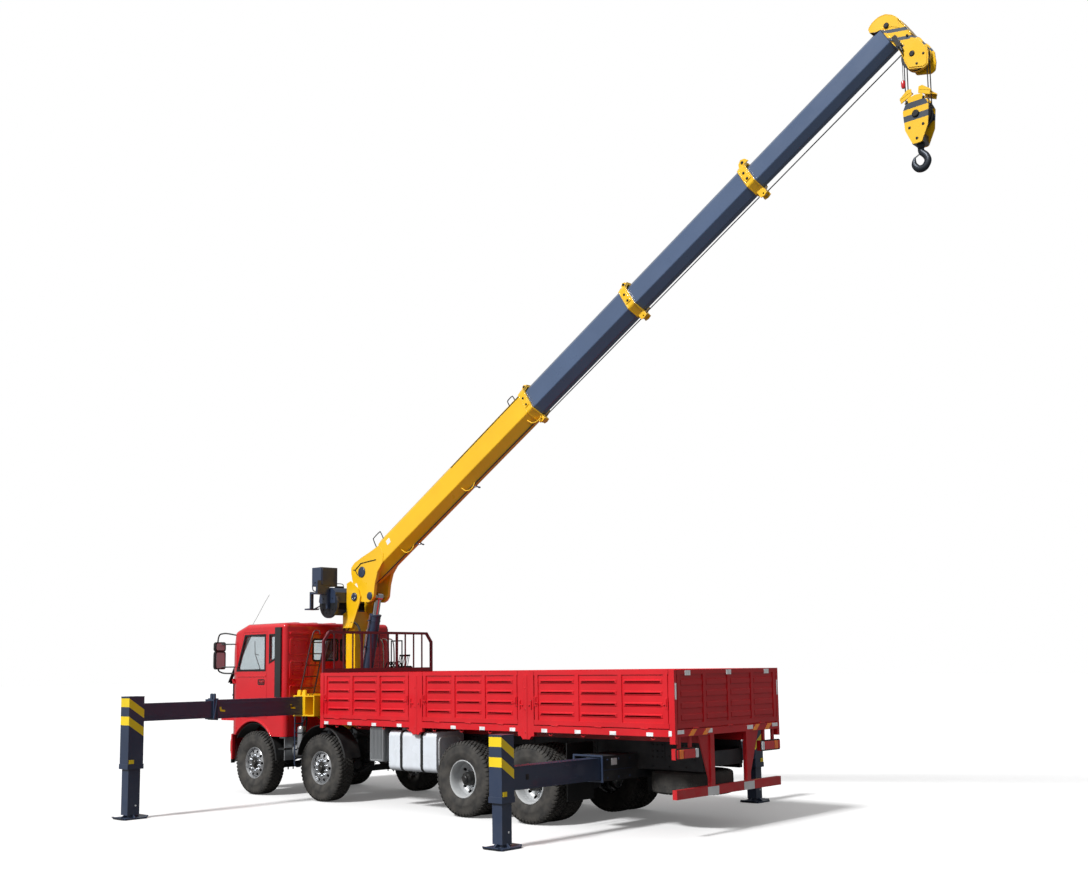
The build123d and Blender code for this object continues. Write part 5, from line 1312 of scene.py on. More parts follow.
    # the running rope under the slate sections, one length per body
    for index, start, stop, y in ((1, 5.21, 7.49, 0.0), (2, 7.62, 9.96, 0.02), (3, 10.09, 12.46, -0.02)):
        run = Form()
        run.route([boom(start, ROPE_LEVEL, y), boom(stop, ROPE_LEVEL, y)], 0.008, 6)
        make(f"rope_run_{index + 1}", run, look["rope"], f"boom_{index + 1}", "hook_steel", 0.0)


def build_head(look):
    dome = Form()
    path = [(12.362, 0.440), (12.374, 0.492), (12.410, 0.508), (12.450, 0.519), (12.500, 0.518), (12.545, 0.510),
            (12.590, 0.488), (12.628, 0.462), (12.656, 0.424), (12.682, 0.382), (12.700, 0.330), (12.710, 0.282),
            (12.716, 0.140), (12.716, -0.030)]
    rings = []
    for i, (u, v) in enumerate(path):
        a, b = path[max(i - 1, 0)], path[min(i + 1, len(path) - 1)]
        ahead = Vector((b[0] - a[0], b[1] - a[1])).normalized()
        up_u, up_v = -ahead.y * 0.010, ahead.x * 0.010
        rings.append([boom(u, v, -0.124), boom(u, v, 0.124), boom(u + up_u, v + up_v, 0.124),
                      boom(u + up_u, v + up_v, -0.124)])
    dome.skin(rings)
    for side in (-1, 1):
        boom_slab(dome, path[:12] + [(12.660, 0.16), (12.600, 0.26), (12.50, 0.34), (12.40, 0.385)],
                  side * 0.120 - 0.003, side * 0.120 + 0.003)
    make("head_dome", dome, look["striped"], "boom_4", "yellow_paint", 0.003)

    lower = Form()
    for side in (-1, 1):
        boom_slab(lower, [(12.50, -0.10), (12.69, -0.07), (12.748, -0.175), (12.748, -0.325), (12.690, -0.445),
                          (12.634, -0.518), (12.588, -0.514), (12.455, -0.380)], side * 0.122 - 0.005,
                  side * 0.122 + 0.005)
    make("head_cheeks", lower, look["yellow"], "boom_4", "yellow_paint", 0.003)
    bolts, black = Form(), Form()
    for u, v in (HEAD_SHEAVE, TOP_SHEAVE):
        at = boom(u, v)
        for side in (-1, 1):
            bolts.lathe([(0, side * 0.112), (0.036, side * 0.112), (0.036, side * 0.134), (0.028, side * 0.140),
                         (0, side * 0.140)], (at.x, 0, at.z), "y", 28)
    for u, v in ((12.53, 0.03), (12.67, -0.01), (12.68, -0.38), (12.55, -0.42)):
        for side in (-1, 1):
            bolts.hexes([boom(u, v, side * 0.127)], "y", 0.011, side * 0.010)
    black.skin([[boom(u, v, y) for u, v in ((12.515, 0.115), (12.575, 0.105), (12.560, -0.075), (12.505, -0.065))]
                for y in (0.116, 0.165)])
    black.rod(boom(12.530, -0.06, 0.14), boom(12.515, -0.14, 0.14), 0.022, 16)
    black.route(smooth([boom(12.52, -0.12, 0.14), boom(12.50, -0.18, 0.14), boom(12.47, -0.20, 0.10)], 4), 0.008)
    make("head_pins", bolts, look["hub"], "boom_4", "black_frame", 0.002)
    make("head_switch", black, look["black"], "boom_4", "black_plastic", 0.004)

    # sheave rims seen between the plates
    wheels = Form()
    for (u, v), radius, lanes in ((HEAD_SHEAVE, 0.160, (-0.04, 0.04)), (TOP_SHEAVE, 0.090, (0.0,))):
        at = boom(u, v)
        for y in lanes:
            for s in (-1, 1):
                wheels.lathe([(radius - 0.02, y + s * 0.020), (radius + 0.013, y + s * 0.024),
                              (radius + 0.013, y + s * 0.030), (radius - 0.02, y + s * 0.029)],
                             (at.x, 0, at.z), "y", 56)
    make("head_sheave_rims", wheels, look["dark_steel"], "boom_4", "black_frame", 0.002)


def build_hook(look):
    head = boom(*HEAD_SHEAVE)
    x, z = head.x, head.z
    top = z - 0.540
    wedge, bolts, inner = Form(), Form(), Form()
    for side in (-1, 1):
        for s in (-1, 1):
            wedge.prism("y", [(x + s * 0.04, top + 0.02), (x + s * 0.19, top - 0.05), (x + s * 0.205, top + 0.02),
                              (x + s * 0.10, top + 0.105), (x + s * 0.05, top + 0.10)], side * 0.086, side * 0.100)
            wedge.skin([[(x + s * 0.05, side * 0.03, top + 0.055), (x + s * 0.05, side * 0.10, top + 0.055),
                         (x + s * 0.05, side * 0.10, top + 0.065), (x + s * 0.05, side * 0.03, top + 0.065)],
                        [(x + s * 0.205, side * 0.03, top - 0.005), (x + s * 0.205, side * 0.10, top - 0.005),
                         (x + s * 0.205, side * 0.10, top + 0.005), (x + s * 0.205, side * 0.03, top + 0.005)]])
        bolts.hexes([(x + dx, side * 0.104, top - dz) for dx, dz in ((-0.11, 0.06), (0.11, 0.06), (-0.09, 0.40),
                                                                     (0.09, 0.40), (0, 0.56))], "y", 0.012,
                    side * 0.010)
        bolts.lathe([(0, side * 0.103), (0.045, side * 0.103), (0.045, side * 0.120), (0.036, side * 0.126),
                     (0, side * 0.126)], (x, 0, top - 0.24), "y", 28)
        for s in (-1, 1):
            inner.lathe([(0.12, side * 0.04 + s * 0.014), (0.158, side * 0.04 + s * 0.020),
                         (0.158, side * 0.04 + s * 0.030), (0.12, side * 0.04 + s * 0.028)], (x, 0, top - 0.24),
                        "y", 56)
    make("block_guards", wedge, look["yellow"], "hook_block", "yellow_paint", 0.003)
    make("block_bolts", bolts, look["hub"], "hook_block", "black_frame", 0.0)
    make("block_sheave_rims", inner, look["dark_steel"], "hook_block", "black_frame", 0.002)

    # forged hook: a tapered round bar bent to shape, with its nut above and latch
    z0 = top - 0.620
    path = smooth([(x, 0, z0 + 0.06), (x, 0, z0 - 0.02), (x - 0.004, 0, z0 - 0.085), (x - 0.060, 0, z0 - 0.150),
                   (x - 0.082, 0, z0 - 0.225), (x - 0.036, 0, z0 - 0.294), (x + 0.038, 0, z0 - 0.298),
                   (x + 0.092, 0, z0 - 0.240), (x + 0.098, 0, z0 - 0.185), (x + 0.084, 0, z0 - 0.135)], 5)
    widths = [0.030, 0.034, 0.036, 0.038, 0.040, 0.042, 0.040, 0.034, 0.024, 0.010]
    rings = []
    count = len(path)
    for i, p in enumerate(path):
        t = i / (count - 1) * (len(widths) - 1)
        k = min(int(t), len(widths) - 2)
        r = widths[k] + (widths[k + 1] - widths[k]) * (t - k)
        ahead = (path[min(i + 1, count - 1)] - path[max(i - 1, 0)]).normalized()
        across = Vector((0, 1, 0))
        outward = ahead.cross(across)
        rings.append([p + outward * math.cos(a) * r * 1.15 + across * math.sin(a) * r * 0.85
                      for a in (2 * math.pi * n / 16 for n in range(16))])
    form = Form()
    form.skin(rings)
    form.rod((x, 0, z0 + 0.02), (x, 0, z0 - 0.045), 0.052, 20, 0.040)
    make("forged_hook", form, look["hook"], "hook", "hook_steel", 0.0, angle=50, hides=("hook",))
    latch = Form()
    latch.route([(x - 0.004, 0, z0 - 0.100), (x + 0.040, 0, z0 - 0.118), (x + 0.088, 0, z0 - 0.142)], 0.009, 8)
    make("hook_latch", latch, look["bright"], "hook", "silver_metal", 0.0)

    # anti-two-block weight on its thin line
    weight = Form()
    weight.lathe([(0, -0.05), (0.020, -0.045), (0.028, -0.02), (0.028, 0.03), (0.018, 0.05), (0, 0.05)],
                 (x + 0.157, 0.075, z - 0.34), "z", 24)
    make("limit_weight", weight, look["red"], "hook_block", "red_paint", 0.0)
    string = Form()
    string.rod((x + 0.157, 0.075, z - 0.30), (x + 0.157, 0.075, z - 0.05), 0.004, 6)
    make("limit_line", string, look["black"], "hook_block", "black_plastic", 0.0)


def build_crane(look):
    # column: pedestal bolts, slew race and hose bundles
    ring = Form()
    ring.hexes([(SLEW_X + 0.27 * math.cos(a), 0.27 * math.sin(a), 1.90) for a in
                (2 * math.pi * k / 20 for k in range(20))], "z", 0.013, 0.014)
    make("slew_bolts", ring, look["hub"], "turret", "black_frame", 0.0)
    deck = Form()
    deck.lathe([(0.332, 1.78), (0.40, 1.774), (0.40, 1.80), (0.36, 1.815), (0.345, 1.838), (0.332, 1.838)],
               (SLEW_X, 0, 0), "z", 56)
    deck.hexes([(SLEW_X + 0.378 * math.cos(a), 0.378 * math.sin(a), 1.80) for a in
                (2 * math.pi * (k + 0.5) / 16 for k in range(16))], "z", 0.012, 0.012)
    make("slew_race", deck, look["yellow"], "chassis", "yellow_paint", 0.002)
    for number, (y, bow) in enumerate(((-0.06, 0.10), (-0.02, 0.16), (0.03, 0.22), (0.075, 0.13))):
        pipe(f"crane_hose_{number}", [(-1.30, y, 1.98), (-1.25 + bow * 0.2, y * 1.5, 2.35),
                                      (-1.26 + bow * 0.4, y * 1.7, 2.75), (-1.26 + bow * 0.2, y * 1.4, 3.02),
                                      (-1.30, y, 3.20)], 0.014, look["hose"], "turret", "black_plastic")
    for number, (y, bow) in enumerate(((-0.17, 0.0), (-0.185, 0.05), (0.172, 0.0), (0.186, 0.04))):
        pipe(f"luff_hose_{number}", [(-1.40, y, 2.90), (-1.52 - bow, y * 1.1, 3.05), (-1.70 - bow, y * 1.0, 2.95),
                                     (-1.80 - bow, y, 2.60)], 0.013, look["hose"], "turret", "black_plastic")

    # luffing cylinder: end ring, base collar and clamps
    d = (LUFF_TOP - LUFF_BASE).normalized()
    base = LUFF_BASE
    bands, line = Form(), Form()
    for s, r, length in ((1.195, 0.107, 0.030), (1.10, 0.104, 0.022), (0.62, 0.104, 0.022), (0.16, 0.104, 0.030)):
        bands.rod(base + d * s, base + d * (s + length), r, 36)
    for s in (0.62, 1.10):
        bands.box(*[(lambda m, e: (m - e, m + e))(m, e) for m, e in zip(base + d * (s + 0.011) + Vector((0, 0.118, 0)),
                                                                          (0.02, 0.03, 0.012))])
    line.route([base + d * 0.14 + Vector((0, 0.128, 0)), base + d * 1.20 + Vector((0, 0.128, 0))], 0.010, 8)
    line.route([base + d * 0.14 + Vector((0.03, 0.124, 0)), base + d * 0.95 + Vector((0.03, 0.124, 0))], 0.010, 8)
    make("luff_bands", bands, look["slate"], "luff_barrel", "slate_paint", 0.002)
    make("luff_lines", line, look["bright"], "luff_barrel", "silver_metal", 0.0)

    # winch: rope turns, flange rims, motor cap
    drum = Form()
    for k in range(34):
        y = -0.305 + 0.0195 * k
        drum.lathe([(0.148, y - 0.0095), (0.166, y), (0.148, y + 0.0095)], (-1.185, 0, 3.385), "y", 40)
    make("rope_turns", drum, look["rope"], "turret", "hook_steel", 0.0, angle=80)
    caps = Form()
    for y, s in ((-0.342, -1), (0.450, 1)):
        caps.lathe([(0, y), (0.20, y), (0.20, y + s * 0.012), (0.12, y + s * 0.018), (0.11, y + s * 0.06),
                    (0, y + s * 0.065)] if s < 0 else
                   [(0, y), (0.245, y), (0.245, y + 0.006), (0, y + 0.008)], (-1.185, 0, 3.385), "y", 44)
        caps.hexes([(-1.185 + 0.165 * math.cos(a), y + s * 0.010, 3.385 + 0.165 * math.sin(a))
                    for a in (2 * math.pi * k / 10 for k in range(10))], "y", 0.011, s * 0.008)
    make("winch_caps", caps, look["dark_steel"], "turret", "black_frame", 0.002)

    # operator seat: cushion edge, back shell, foot rail and grab bars
    seat = Form()
    frame_bar(seat, "y", 0.662, rounded(-1.235, -0.995, 3.72, 4.02, 0.03), rounded(-1.215, -1.015, 3.74, 4.00, 0.02),
              -0.016)
    seat.prism("x", rounded(0.315, 0.645, 3.72, 4.02, 0.035), -1.262, -1.246)
    seat.route(smooth([(-1.20, 0.72, 3.60), (-1.20, 0.80, 3.62), (-1.20, 0.80, 3.74), (-1.20, 0.72, 3.76)], 4), 0.010)
    seat.route(smooth([(-0.97, 0.30, 3.66), (-0.88, 0.30, 3.60), (-0.86, 0.34, 3.40), (-0.92, 0.58, 3.296)], 4), 0.012)
    for y in (0.50, 0.56, 0.62, 0.68):
        seat.box((-1.055, -0.905), (y, y + 0.012), (3.302, 3.309))
    make("seat_trim", seat, look["slate"], "turret", "slate_paint", 0.003)
    shield = Form()
    shield.route(smooth([(-1.17, 0.10, 3.675), (-1.17, 0.10, 3.74), (-1.17, 0.14, 3.76), (-1.17, 0.24, 3.76),
                         (-1.17, 0.28, 3.74), (-1.17, 0.28, 3.675)], 3), 0.008)
    shield.box((-1.22, -1.12), (0.12, 0.26), (3.675, 3.715))
    make("cover_fitting", shield, look["black"], "turret", "black_plastic", 0.004)

    # crane base: lugs, bolts, tunnel lips, levers and hoses
    lugs, bolts, levers, knobs = Form(), Form(), Form(), Form()
    for side, x in ((1, -1.42), (-1, -1.72)):
        y = side * 1.18
        for dx in (-0.07, 0.07):
            outline = [(x + dx - 0.045, 1.770), (x + dx + 0.045, 1.770), (x + dx + 0.045, 1.825)]
            outline += arc((x + dx, 1.825), 0.045, 0, 180, 10)[1:]
            lugs.prism("y", outline, y - 0.016, y + 0.016)
        frame_bar(lugs, "y", side * 1.249, [(x - 0.145, 1.420), (x + 0.145, 1.420), (x + 0.145, 1.778),
                                            (x - 0.145, 1.778)],
                  [(x - 0.117, 1.447), (x + 0.117, 1.447), (x + 0.117, 1.757), (x - 0.117, 1.757)], side * 0.004)
        bolts.hexes([(x + dx, side * 1.02, 1.776) for dx in (-0.08, 0, 0.08)], "z", 0.013, 0.012)
        for k in range(4):
            bolts.hexes([(-1.279, side * (0.55 + 0.16 * k), z) for z in (1.47, 1.73)], "x", 0.012, 0.010)
            bolts.hexes([(-1.861, side * (0.55 + 0.16 * k), z) for z in (1.47, 1.73)], "x", 0.012, -0.010)
    for x in (-1.86, -1.28):
        for side in (-1, 1):
            lugs.prism("x", [(side * 0.50, 1.20), (side * 0.52, 1.20), (side * 0.78, 1.426), (side * 0.50, 1.426)],
                       x - 0.008 if x < -1.5 else x - 0.012, x + 0.012 if x < -1.5 else x + 0.008)
    make("base_lugs", lugs, look["yellow"], "chassis", "yellow_paint", 0.003)
    make("base_bolts", bolts, look["hub"], "chassis", "black_frame", 0.0)
    for k in range(7):
        x = -1.76 + 0.047 * k
        levers.rod((x, -0.93, 2.24), (x - 0.004 * (k - 3), -0.985, 2.44), 0.007, 8)
        knobs.lathe([(0, -0.02), (0.014, -0.014), (0.017, 0), (0.014, 0.014), (0, 0.02)],
                    (x - 0.004 * (k - 3), -0.990, 2.452), "z", 14)
        knobs.box((x - 0.018, x + 0.018), (-1.015, -0.770), (2.245, 2.262))
    make("control_levers", levers, look["bright"], "chassis", "silver_metal", 0.0)
    make("control_knobs", knobs, look["black"], "chassis", "black_plastic", 0.002)
    for k in range(5):
        x = -1.78 + 0.075 * k
        pipe(f"bank_hose_{k}", [(x, -0.80, 1.86), (x + 0.03, -0.60, 1.98), (x + 0.06, -0.42, 1.93),
                                (-1.48 - 0.03 * k, -0.33, 1.82)], 0.013, look["hose"], "chassis", "black_plastic")
        pipe(f"bank_line_{k}", [(x, -0.80, 2.22), (x + 0.01, -0.72, 2.34), (x + 0.02, -0.66, 2.20),
                                (x + 0.01, -0.70, 1.90)], 0.011, look["hose"], "chassis", "black_plastic")
    hoops = Form()
    for offset in (0, 0.30):
        y = 0.660 - offset
        hoops.route(smooth([(-1.0, y, 2.79), (-1.0, y - 0.02, 2.86), (-1.03, y - 0.05, 2.91), (-1.12, y - 0.06, 2.90),
                            (-1.15, y - 0.06, 2.84)], 4), 0.013)
    make("ladder_hoops", hoops, look["ladder"], "chassis", "dark_red_paint", 0.0)
    post = Form()
    for x in (-1.77, -1.62, -1.47):
        post.route(smooth([(x, -0.60, 1.86), (x, -0.60, 2.50), (x + 0.02, -0.58, 2.72), (x + 0.09, -0.52, 2.76)], 4),
                   0.012)
    make("bank_pipes", post, look["bright"], "chassis", "silver_metal", 0.0)


# Outriggers
def low_relief(form, face, height, side, y0, y1, z0, z1):
    """A flat strip with sloped ends along an outrigger beam, low enough to slide into its tunnel."""
    form.prism("z", [(face, side * y0), (face + height, side * (y0 + 0.02)), (face + height, side * (y1 - 0.03)),
                     (face, side * y1)], z0, z1)


def build_outriggers(look):
    for name, side in SIDES:
        x = -1.42 if side > 0 else -1.72
        stage, leg, jack = (f"outrigger_front_{name}_{k}" for k in ("stage", "leg", "jack"))
        low, high = 1.45, 1.75
        edge = Form()
        for face in (-1, 1):
            fx = x + face * 0.110
            for z in (low + 0.045, high - 0.055):
                low_relief(edge, fx, face * 0.005, side, 1.32, 2.88, z - 0.012, z + 0.012)
            low_relief(edge, fx, face * 0.004, side, 1.32, 2.46, low + 0.13, low + 0.17)
        make(f"front_beam_{name}", edge, look["slate"], stage, "slate_paint", 0.003)
        # bracket over the joint of the two stages
        clamp = Form()
        frame_bar(clamp, "y", side * 2.925, [(x - 0.145, low - 0.024), (x + 0.145, low - 0.024),
                                             (x + 0.145, high + 0.026), (x - 0.145, high + 0.026)],
                  [(x - 0.120, low - 0.006), (x + 0.120, low - 0.006), (x + 0.120, high + 0.008),
                   (x - 0.120, high + 0.008)], side * 0.016)
        for dx in (-0.10, -0.02):
            outline = [(x + dx - 0.03, high + 0.010), (x + dx + 0.03, high + 0.010), (x + dx + 0.03, high + 0.075)]
            outline += arc((x + dx, high + 0.075), 0.03, 0, 180, 8)[1:]
            clamp.prism("y", outline, side * 2.975 - 0.014, side * 2.975 + 0.014)
        clamp.skin([[(x - 0.136 + t, side * 2.985, low + 0.0), (x - 0.136 + t, side * 3.008, low + 0.0),
                     (x - 0.136 + t, side * 2.953, high + 0.02), (x - 0.136 + t, side * 2.930, high + 0.02)]
                    for t in (-0.012, 0.012)])
        make(f"front_clamp_{name}", clamp, look["slate"], stage, "slate_paint", 0.003)
        bump = Form()
        for face in (-1, 1):
            fx = x + face * 0.092
            low_relief(bump, fx, face * 0.004, side, 3.12, 4.19, low + 0.06, low + 0.09)
        bump.hexes([(x - 0.092, side * 3.72, low + 0.16)], "x", 0.016, -0.004)
        make(f"front_arm_{name}", bump, look["slate"], leg, "slate_paint", 0.002)
        tags = Form()
        for y in (1.42, 2.80):
            tags.prism("x", [(side * (y - 0.02), 1.555), (side * (y + 0.07), 1.565), (side * (y + 0.085), 1.635),
                             (side * (y + 0.055), 1.635), (side * (y + 0.045), 1.592), (side * (y - 0.02), 1.585)],
                       x - 0.114, x - 0.108)
        make(f"front_tags_{name}", tags, look["tape"], stage, "yellow_paint", 0.0)
        dress_leg(look, leg, jack, x, side * 4.345, 1.84, 0.75, 0.125, 0.098, 0.18)
    for name, side in SIDES:
        x = -8.08 if side > 0 else -7.82
        leg, jack = (f"outrigger_rear_{name}_{k}" for k in ("leg", "jack"))
        low, high = 0.70, 0.99
        form = Form()
        for face in (-1, 1):
            fx = x + face * 0.095
            for z in (low + 0.006, high - 0.006):
                low_relief(form, fx, face * 0.005, side, 1.32, 2.94, z - 0.006, z + 0.006)
            low_relief(form, fx, face * 0.004, side, 1.72, 2.32, low + 0.20, low + 0.24)
            low_relief(form, fx, face * 0.004, side, 1.62, 1.90, low + 0.05, low + 0.075)
        form.hexes([(x - 0.095, side * y, low + dz) for y, dz in ((2.70, 0.14), (2.50, 0.13), (2.62, 0.05))], "x",
                   0.013, -0.004)
        make(f"rear_beam_{name}", form, look["slate"], leg, "slate_paint", 0.002)
        hole = Form()
        hole.prism("x", rounded(*sorted((side * 2.66, side * 2.715)), low + 0.115, low + 0.185, 0.012), x - 0.099,
                   x - 0.094)
        make(f"rear_slot_{name}", hole, look["black"], leg, "black_plastic", 0.0)
        dress_leg(look, leg, jack, x, side * 3.05, 1.385, 0.56, 0.110, 0.085, 0.17)
    housing = Form()
    for side in (-1, 1):
        frame_bar(housing, "y", side * 1.236, [(-8.215, 0.664), (-7.685, 0.664), (-7.685, 1.026), (-8.215, 1.026)],
                  [(-8.184, 0.690), (-7.716, 0.690), (-7.716, 1.002), (-8.184, 1.002)], side * 0.016)
        housing.box((-8.207, -8.200), sorted((side * 0.62, side * 1.22)), (0.82, 0.83))
    housing.hexes([(-8.206, y, z) for y in (0.66, 0.90, 1.14, -0.66, -0.90, -1.14) for z in (0.72, 0.96)], "x", 0.012,
                  -0.010)
    make("rear_housing_rims", housing, look["slate"], "chassis", "slate_paint", 0.003)
    label = Form()
    label.box((-8.2085, -8.205), (0.94, 1.06), (0.885, 0.975))
    make("housing_label", label, look["white"], "chassis", "white_paint", 0.0)


def dress_leg(look, leg, jack, x, y, top, split, half, inner, plate):
    collar = Form()
    frame_bar(collar, "z", split - 0.002, [(x - half - 0.008, y - half - 0.008), (x + half + 0.008, y - half - 0.008),
                                           (x + half + 0.008, y + half + 0.008), (x - half - 0.008, y + half + 0.008)],
              [(x - half + 0.004, y - half + 0.004), (x + half - 0.004, y - half + 0.004),
               (x + half - 0.004, y + half - 0.004), (x - half + 0.004, y + half - 0.004)], 0.075)
    collar.prism("z", [(x - half - 0.004, y - half - 0.004), (x + half + 0.004, y - half - 0.004),
                       (x + half + 0.004, y + half + 0.004), (x - half - 0.004, y + half + 0.004)], top - 0.002,
                 top + 0.006)
    make(f"{leg}_collar", collar, look["slate"], leg, "slate_paint", 0.003)
    mark = Form()
    mark.box((x - half - 0.010, x - half - 0.006), (y - half * 0.9, y - half * 0.25) if y < 0 else
             (y + half * 0.25, y + half * 0.9), (split + 0.08, split + 0.14))
    make(f"{leg}_mark", mark, look["tape"], leg, "yellow_paint", 0.0)
    foot = Form()
    for s in (-1, 1):
        foot.skin([[(x + a * plate * share, y + s * (plate + out), z)
                    for a, z in ((-1, z0), (1, z0), (1, z1), (-1, z1))]
                   for share, out, z0, z1 in ((0.86, 0.0, 0.0, 0.025), (0.80, 0.045, 0.030, 0.045))])
        foot.prism("x", [(y + s * 0.05, 0.024), (y + s * plate * 0.9, 0.024), (y + s * 0.07, 0.085),
                         (y + s * 0.05, 0.085)], x - 0.006, x + 0.006)
        foot.prism("y", [(x + s * 0.05, 0.024), (x + s * plate * 0.9, 0.024), (x + s * 0.07, 0.085),
                         (x + s * 0.05, 0.085)], y - 0.006, y + 0.006)
    make(f"{jack}_foot", foot, look["slate"], jack, "slate_paint", 0.002)
    dot = Form()
    dot.hexes([(x - inner - 0.0005, y - 0.35 * inner, 0.20)], "x", 0.010, -0.005)
    make(f"{jack}_dot", dot, look["white"], jack, "white_paint", 0.0)


# Looks
# the head's slate bands: their slope, and how far up each one starts and ends
BAND_SLOPE = (-0.196, 0, 0.981)
HEAD_BANDS = [("#46505C", [(BAND_SLOPE, low, low + 0.045)]) for low in (12.392, 12.272, 12.162)]


def leg_bands(y, top, depth, half):
    """Two slanting bands on the top of a leg, as zones in the truck's frame."""
    lean = -0.70 if y > 0 else 0.70
    size = math.hypot(1, lean)
    direction = (0.0, lean / size, 1 / size)
    middle = y * direction[1] + top * direction[2]
    near = ((0, 1, 0), y - half - 0.01, y + half + 0.01)
    level = ((0, 0, 1), top - depth * 2.4, top + 0.001)
    return [("#F2D21B", [(direction, middle - offset - depth * 0.36, middle - offset), near, level])
            for offset in (depth * 0.30, depth * 1.05)]


def make_looks():
    look = {
        "red": paint("cab_red", "#CE1220", 0.30, coat=0.7, shade=0.08, relief=0.03, worn=("#A60D18", 0.004),
                     dust=0.10),
        "bed_red": paint("bed_red", "#D11220", 0.40, coat=0.35, shade=0.10, relief=0.06, worn=("#8E0E15", 0.004),
                         dust=0.22),
        # the tailgate's red is a darker copy of the bed red: painted shade on the rear face, which the light leaves in
        # shade
        "gate_red": paint("gate_red", "#C81420", 0.40, coat=0.35, shade=0.10, relief=0.06, worn=("#8E0E15", 0.004),
                          dust=0.25),
        "yellow": paint("crane_yellow", "#F2BE12", 0.34, coat=0.5, shade=0.07, relief=0.05, worn=("#C48A10", 0.004),
                        dust=0.12),
        "striped": paint("head_stripes", "#F2BE12", 0.34, coat=0.5, shade=0.07, relief=0.05,
                         zones=HEAD_BANDS),
        "slate": paint("outrigger_slate", "#2B3850", 0.42, coat=0.35, shade=0.12, relief=0.06,
                       worn=("#59616B", 0.003), dust=0.06),
        "boom_slate": paint("boom_slate", "#4A5D7C", 0.33, coat=0.5, shade=0.08, relief=0.05, worn=("#6D788A", 0.003)),
        "frame": paint("frame_black", "#24282D", 0.52, shade=0.20, relief=0.18, worn=("#6A6157", 0.003), dust=0.22),
        "hub": paint("hub_black", "#1E2022", 0.45, metal=0.3, shade=0.2, relief=0.15, dust=0.18),
        "black": paint("black_plastic", "#17191B", 0.48, shade=0.12, relief=0.20, relief_scale=160.0, dust=0.15),
        "rubber": paint("window_rubber", "#131415", 0.70, shade=0.12, relief=0.12),
        "hose": paint("hose_rubber", "#18191B", 0.62, shade=0.15, relief=0.15, relief_scale=140.0),
        "tyre": paint("tyre_rubber", "#2B2A29", 0.82, shade=0.20, relief=0.25, relief_scale=130.0,
                      worn=("#4A4947", 0.004), dust=0.20),
        "chrome_rim": paint("polished_rim", "#D3D5D8", 0.20, metal=0.9, shade=0.10, relief=0.05, dust=0.22),
        "grey_rim": paint("grey_rim", "#BFC2C4", 0.42, metal=0.15, shade=0.12, relief=0.08, dust=0.28),
        "bright": paint("bright_steel", "#C9CCD0", 0.26, metal=0.9, shade=0.12, relief=0.06),
        "alloy": paint("mill_alloy", "#AEB1B4", 0.36, metal=0.75, shade=0.15, relief=0.10, dust=0.25),
        "dark_steel": paint("dark_steel", "#33363A", 0.45, metal=0.6, shade=0.2, relief=0.15),
        "hook": paint("forged_steel", "#2A3038", 0.40, metal=0.55, shade=0.22, relief=0.30, relief_scale=60.0,
                      worn=("#7C828A", 0.005)),
        "rope": paint("wire_rope", "#4A4D51", 0.45, metal=0.7, shade=0.25, relief=0.5, relief_scale=220.0),
        "rod": paint("chrome_rod", "#D9DBDF", 0.12, metal=1.0, shade=0.05, relief=0.02),
        "white": paint("white_label", "#E4E6E8", 0.40, shade=0.06, relief=0.04, dust=0.15),
        "tank": paint("tank_white", "#DDE3EA", 0.26, coat=0.5, shade=0.06, relief=0.04, dust=0.22),
        "headboard": paint("headboard_maroon", "#6A1525", 0.42, coat=0.3, shade=0.14, relief=0.08,
                           worn=("#7A2A33", 0.003), dust=0.1),
        "ladder": paint("ladder_red", "#3A0E16", 0.45, coat=0.3, shade=0.14, relief=0.08),
        "fabric": paint("seat_fabric", "#25272A", 0.85, shade=0.18, relief=0.5, relief_scale=240.0),
        "panel_grey": paint("dashboard_grey", "#3A3D41", 0.6, shade=0.12, relief=0.3, relief_scale=180.0),
        "glass": glass("cab_glass", "#E2E9EC", 0.96),
        "smoke": glass("smoked_glass", "#2A2E33", 0.75, 0.08),
        "mirror": paint("mirror_face", "#A9B0B7", 0.30, metal=0.35, shade=0.03, relief=0.0),
        "clear_lens": lens("clear_lens", "#DDE3E8", 0.05),
        "amber": lens("amber_lens", "#E5721A", 0.15),
        "red_lens": lens("red_lens", "#B80F16", 0.15),
        # reflectors and tape emit a painted glow, though they are no lamps
        "white_reflector_painted_glow": lens("white_reflector_painted_glow", "#E6E8EA", 0.10),
        "amber_tape_painted_glow": lens("amber_tape_painted_glow", "#F28A1C", 0.15),
        "tape": paint("yellow_tape", "#F2D21B", 0.40, shade=0.06, relief=0.05),
    }
    return look


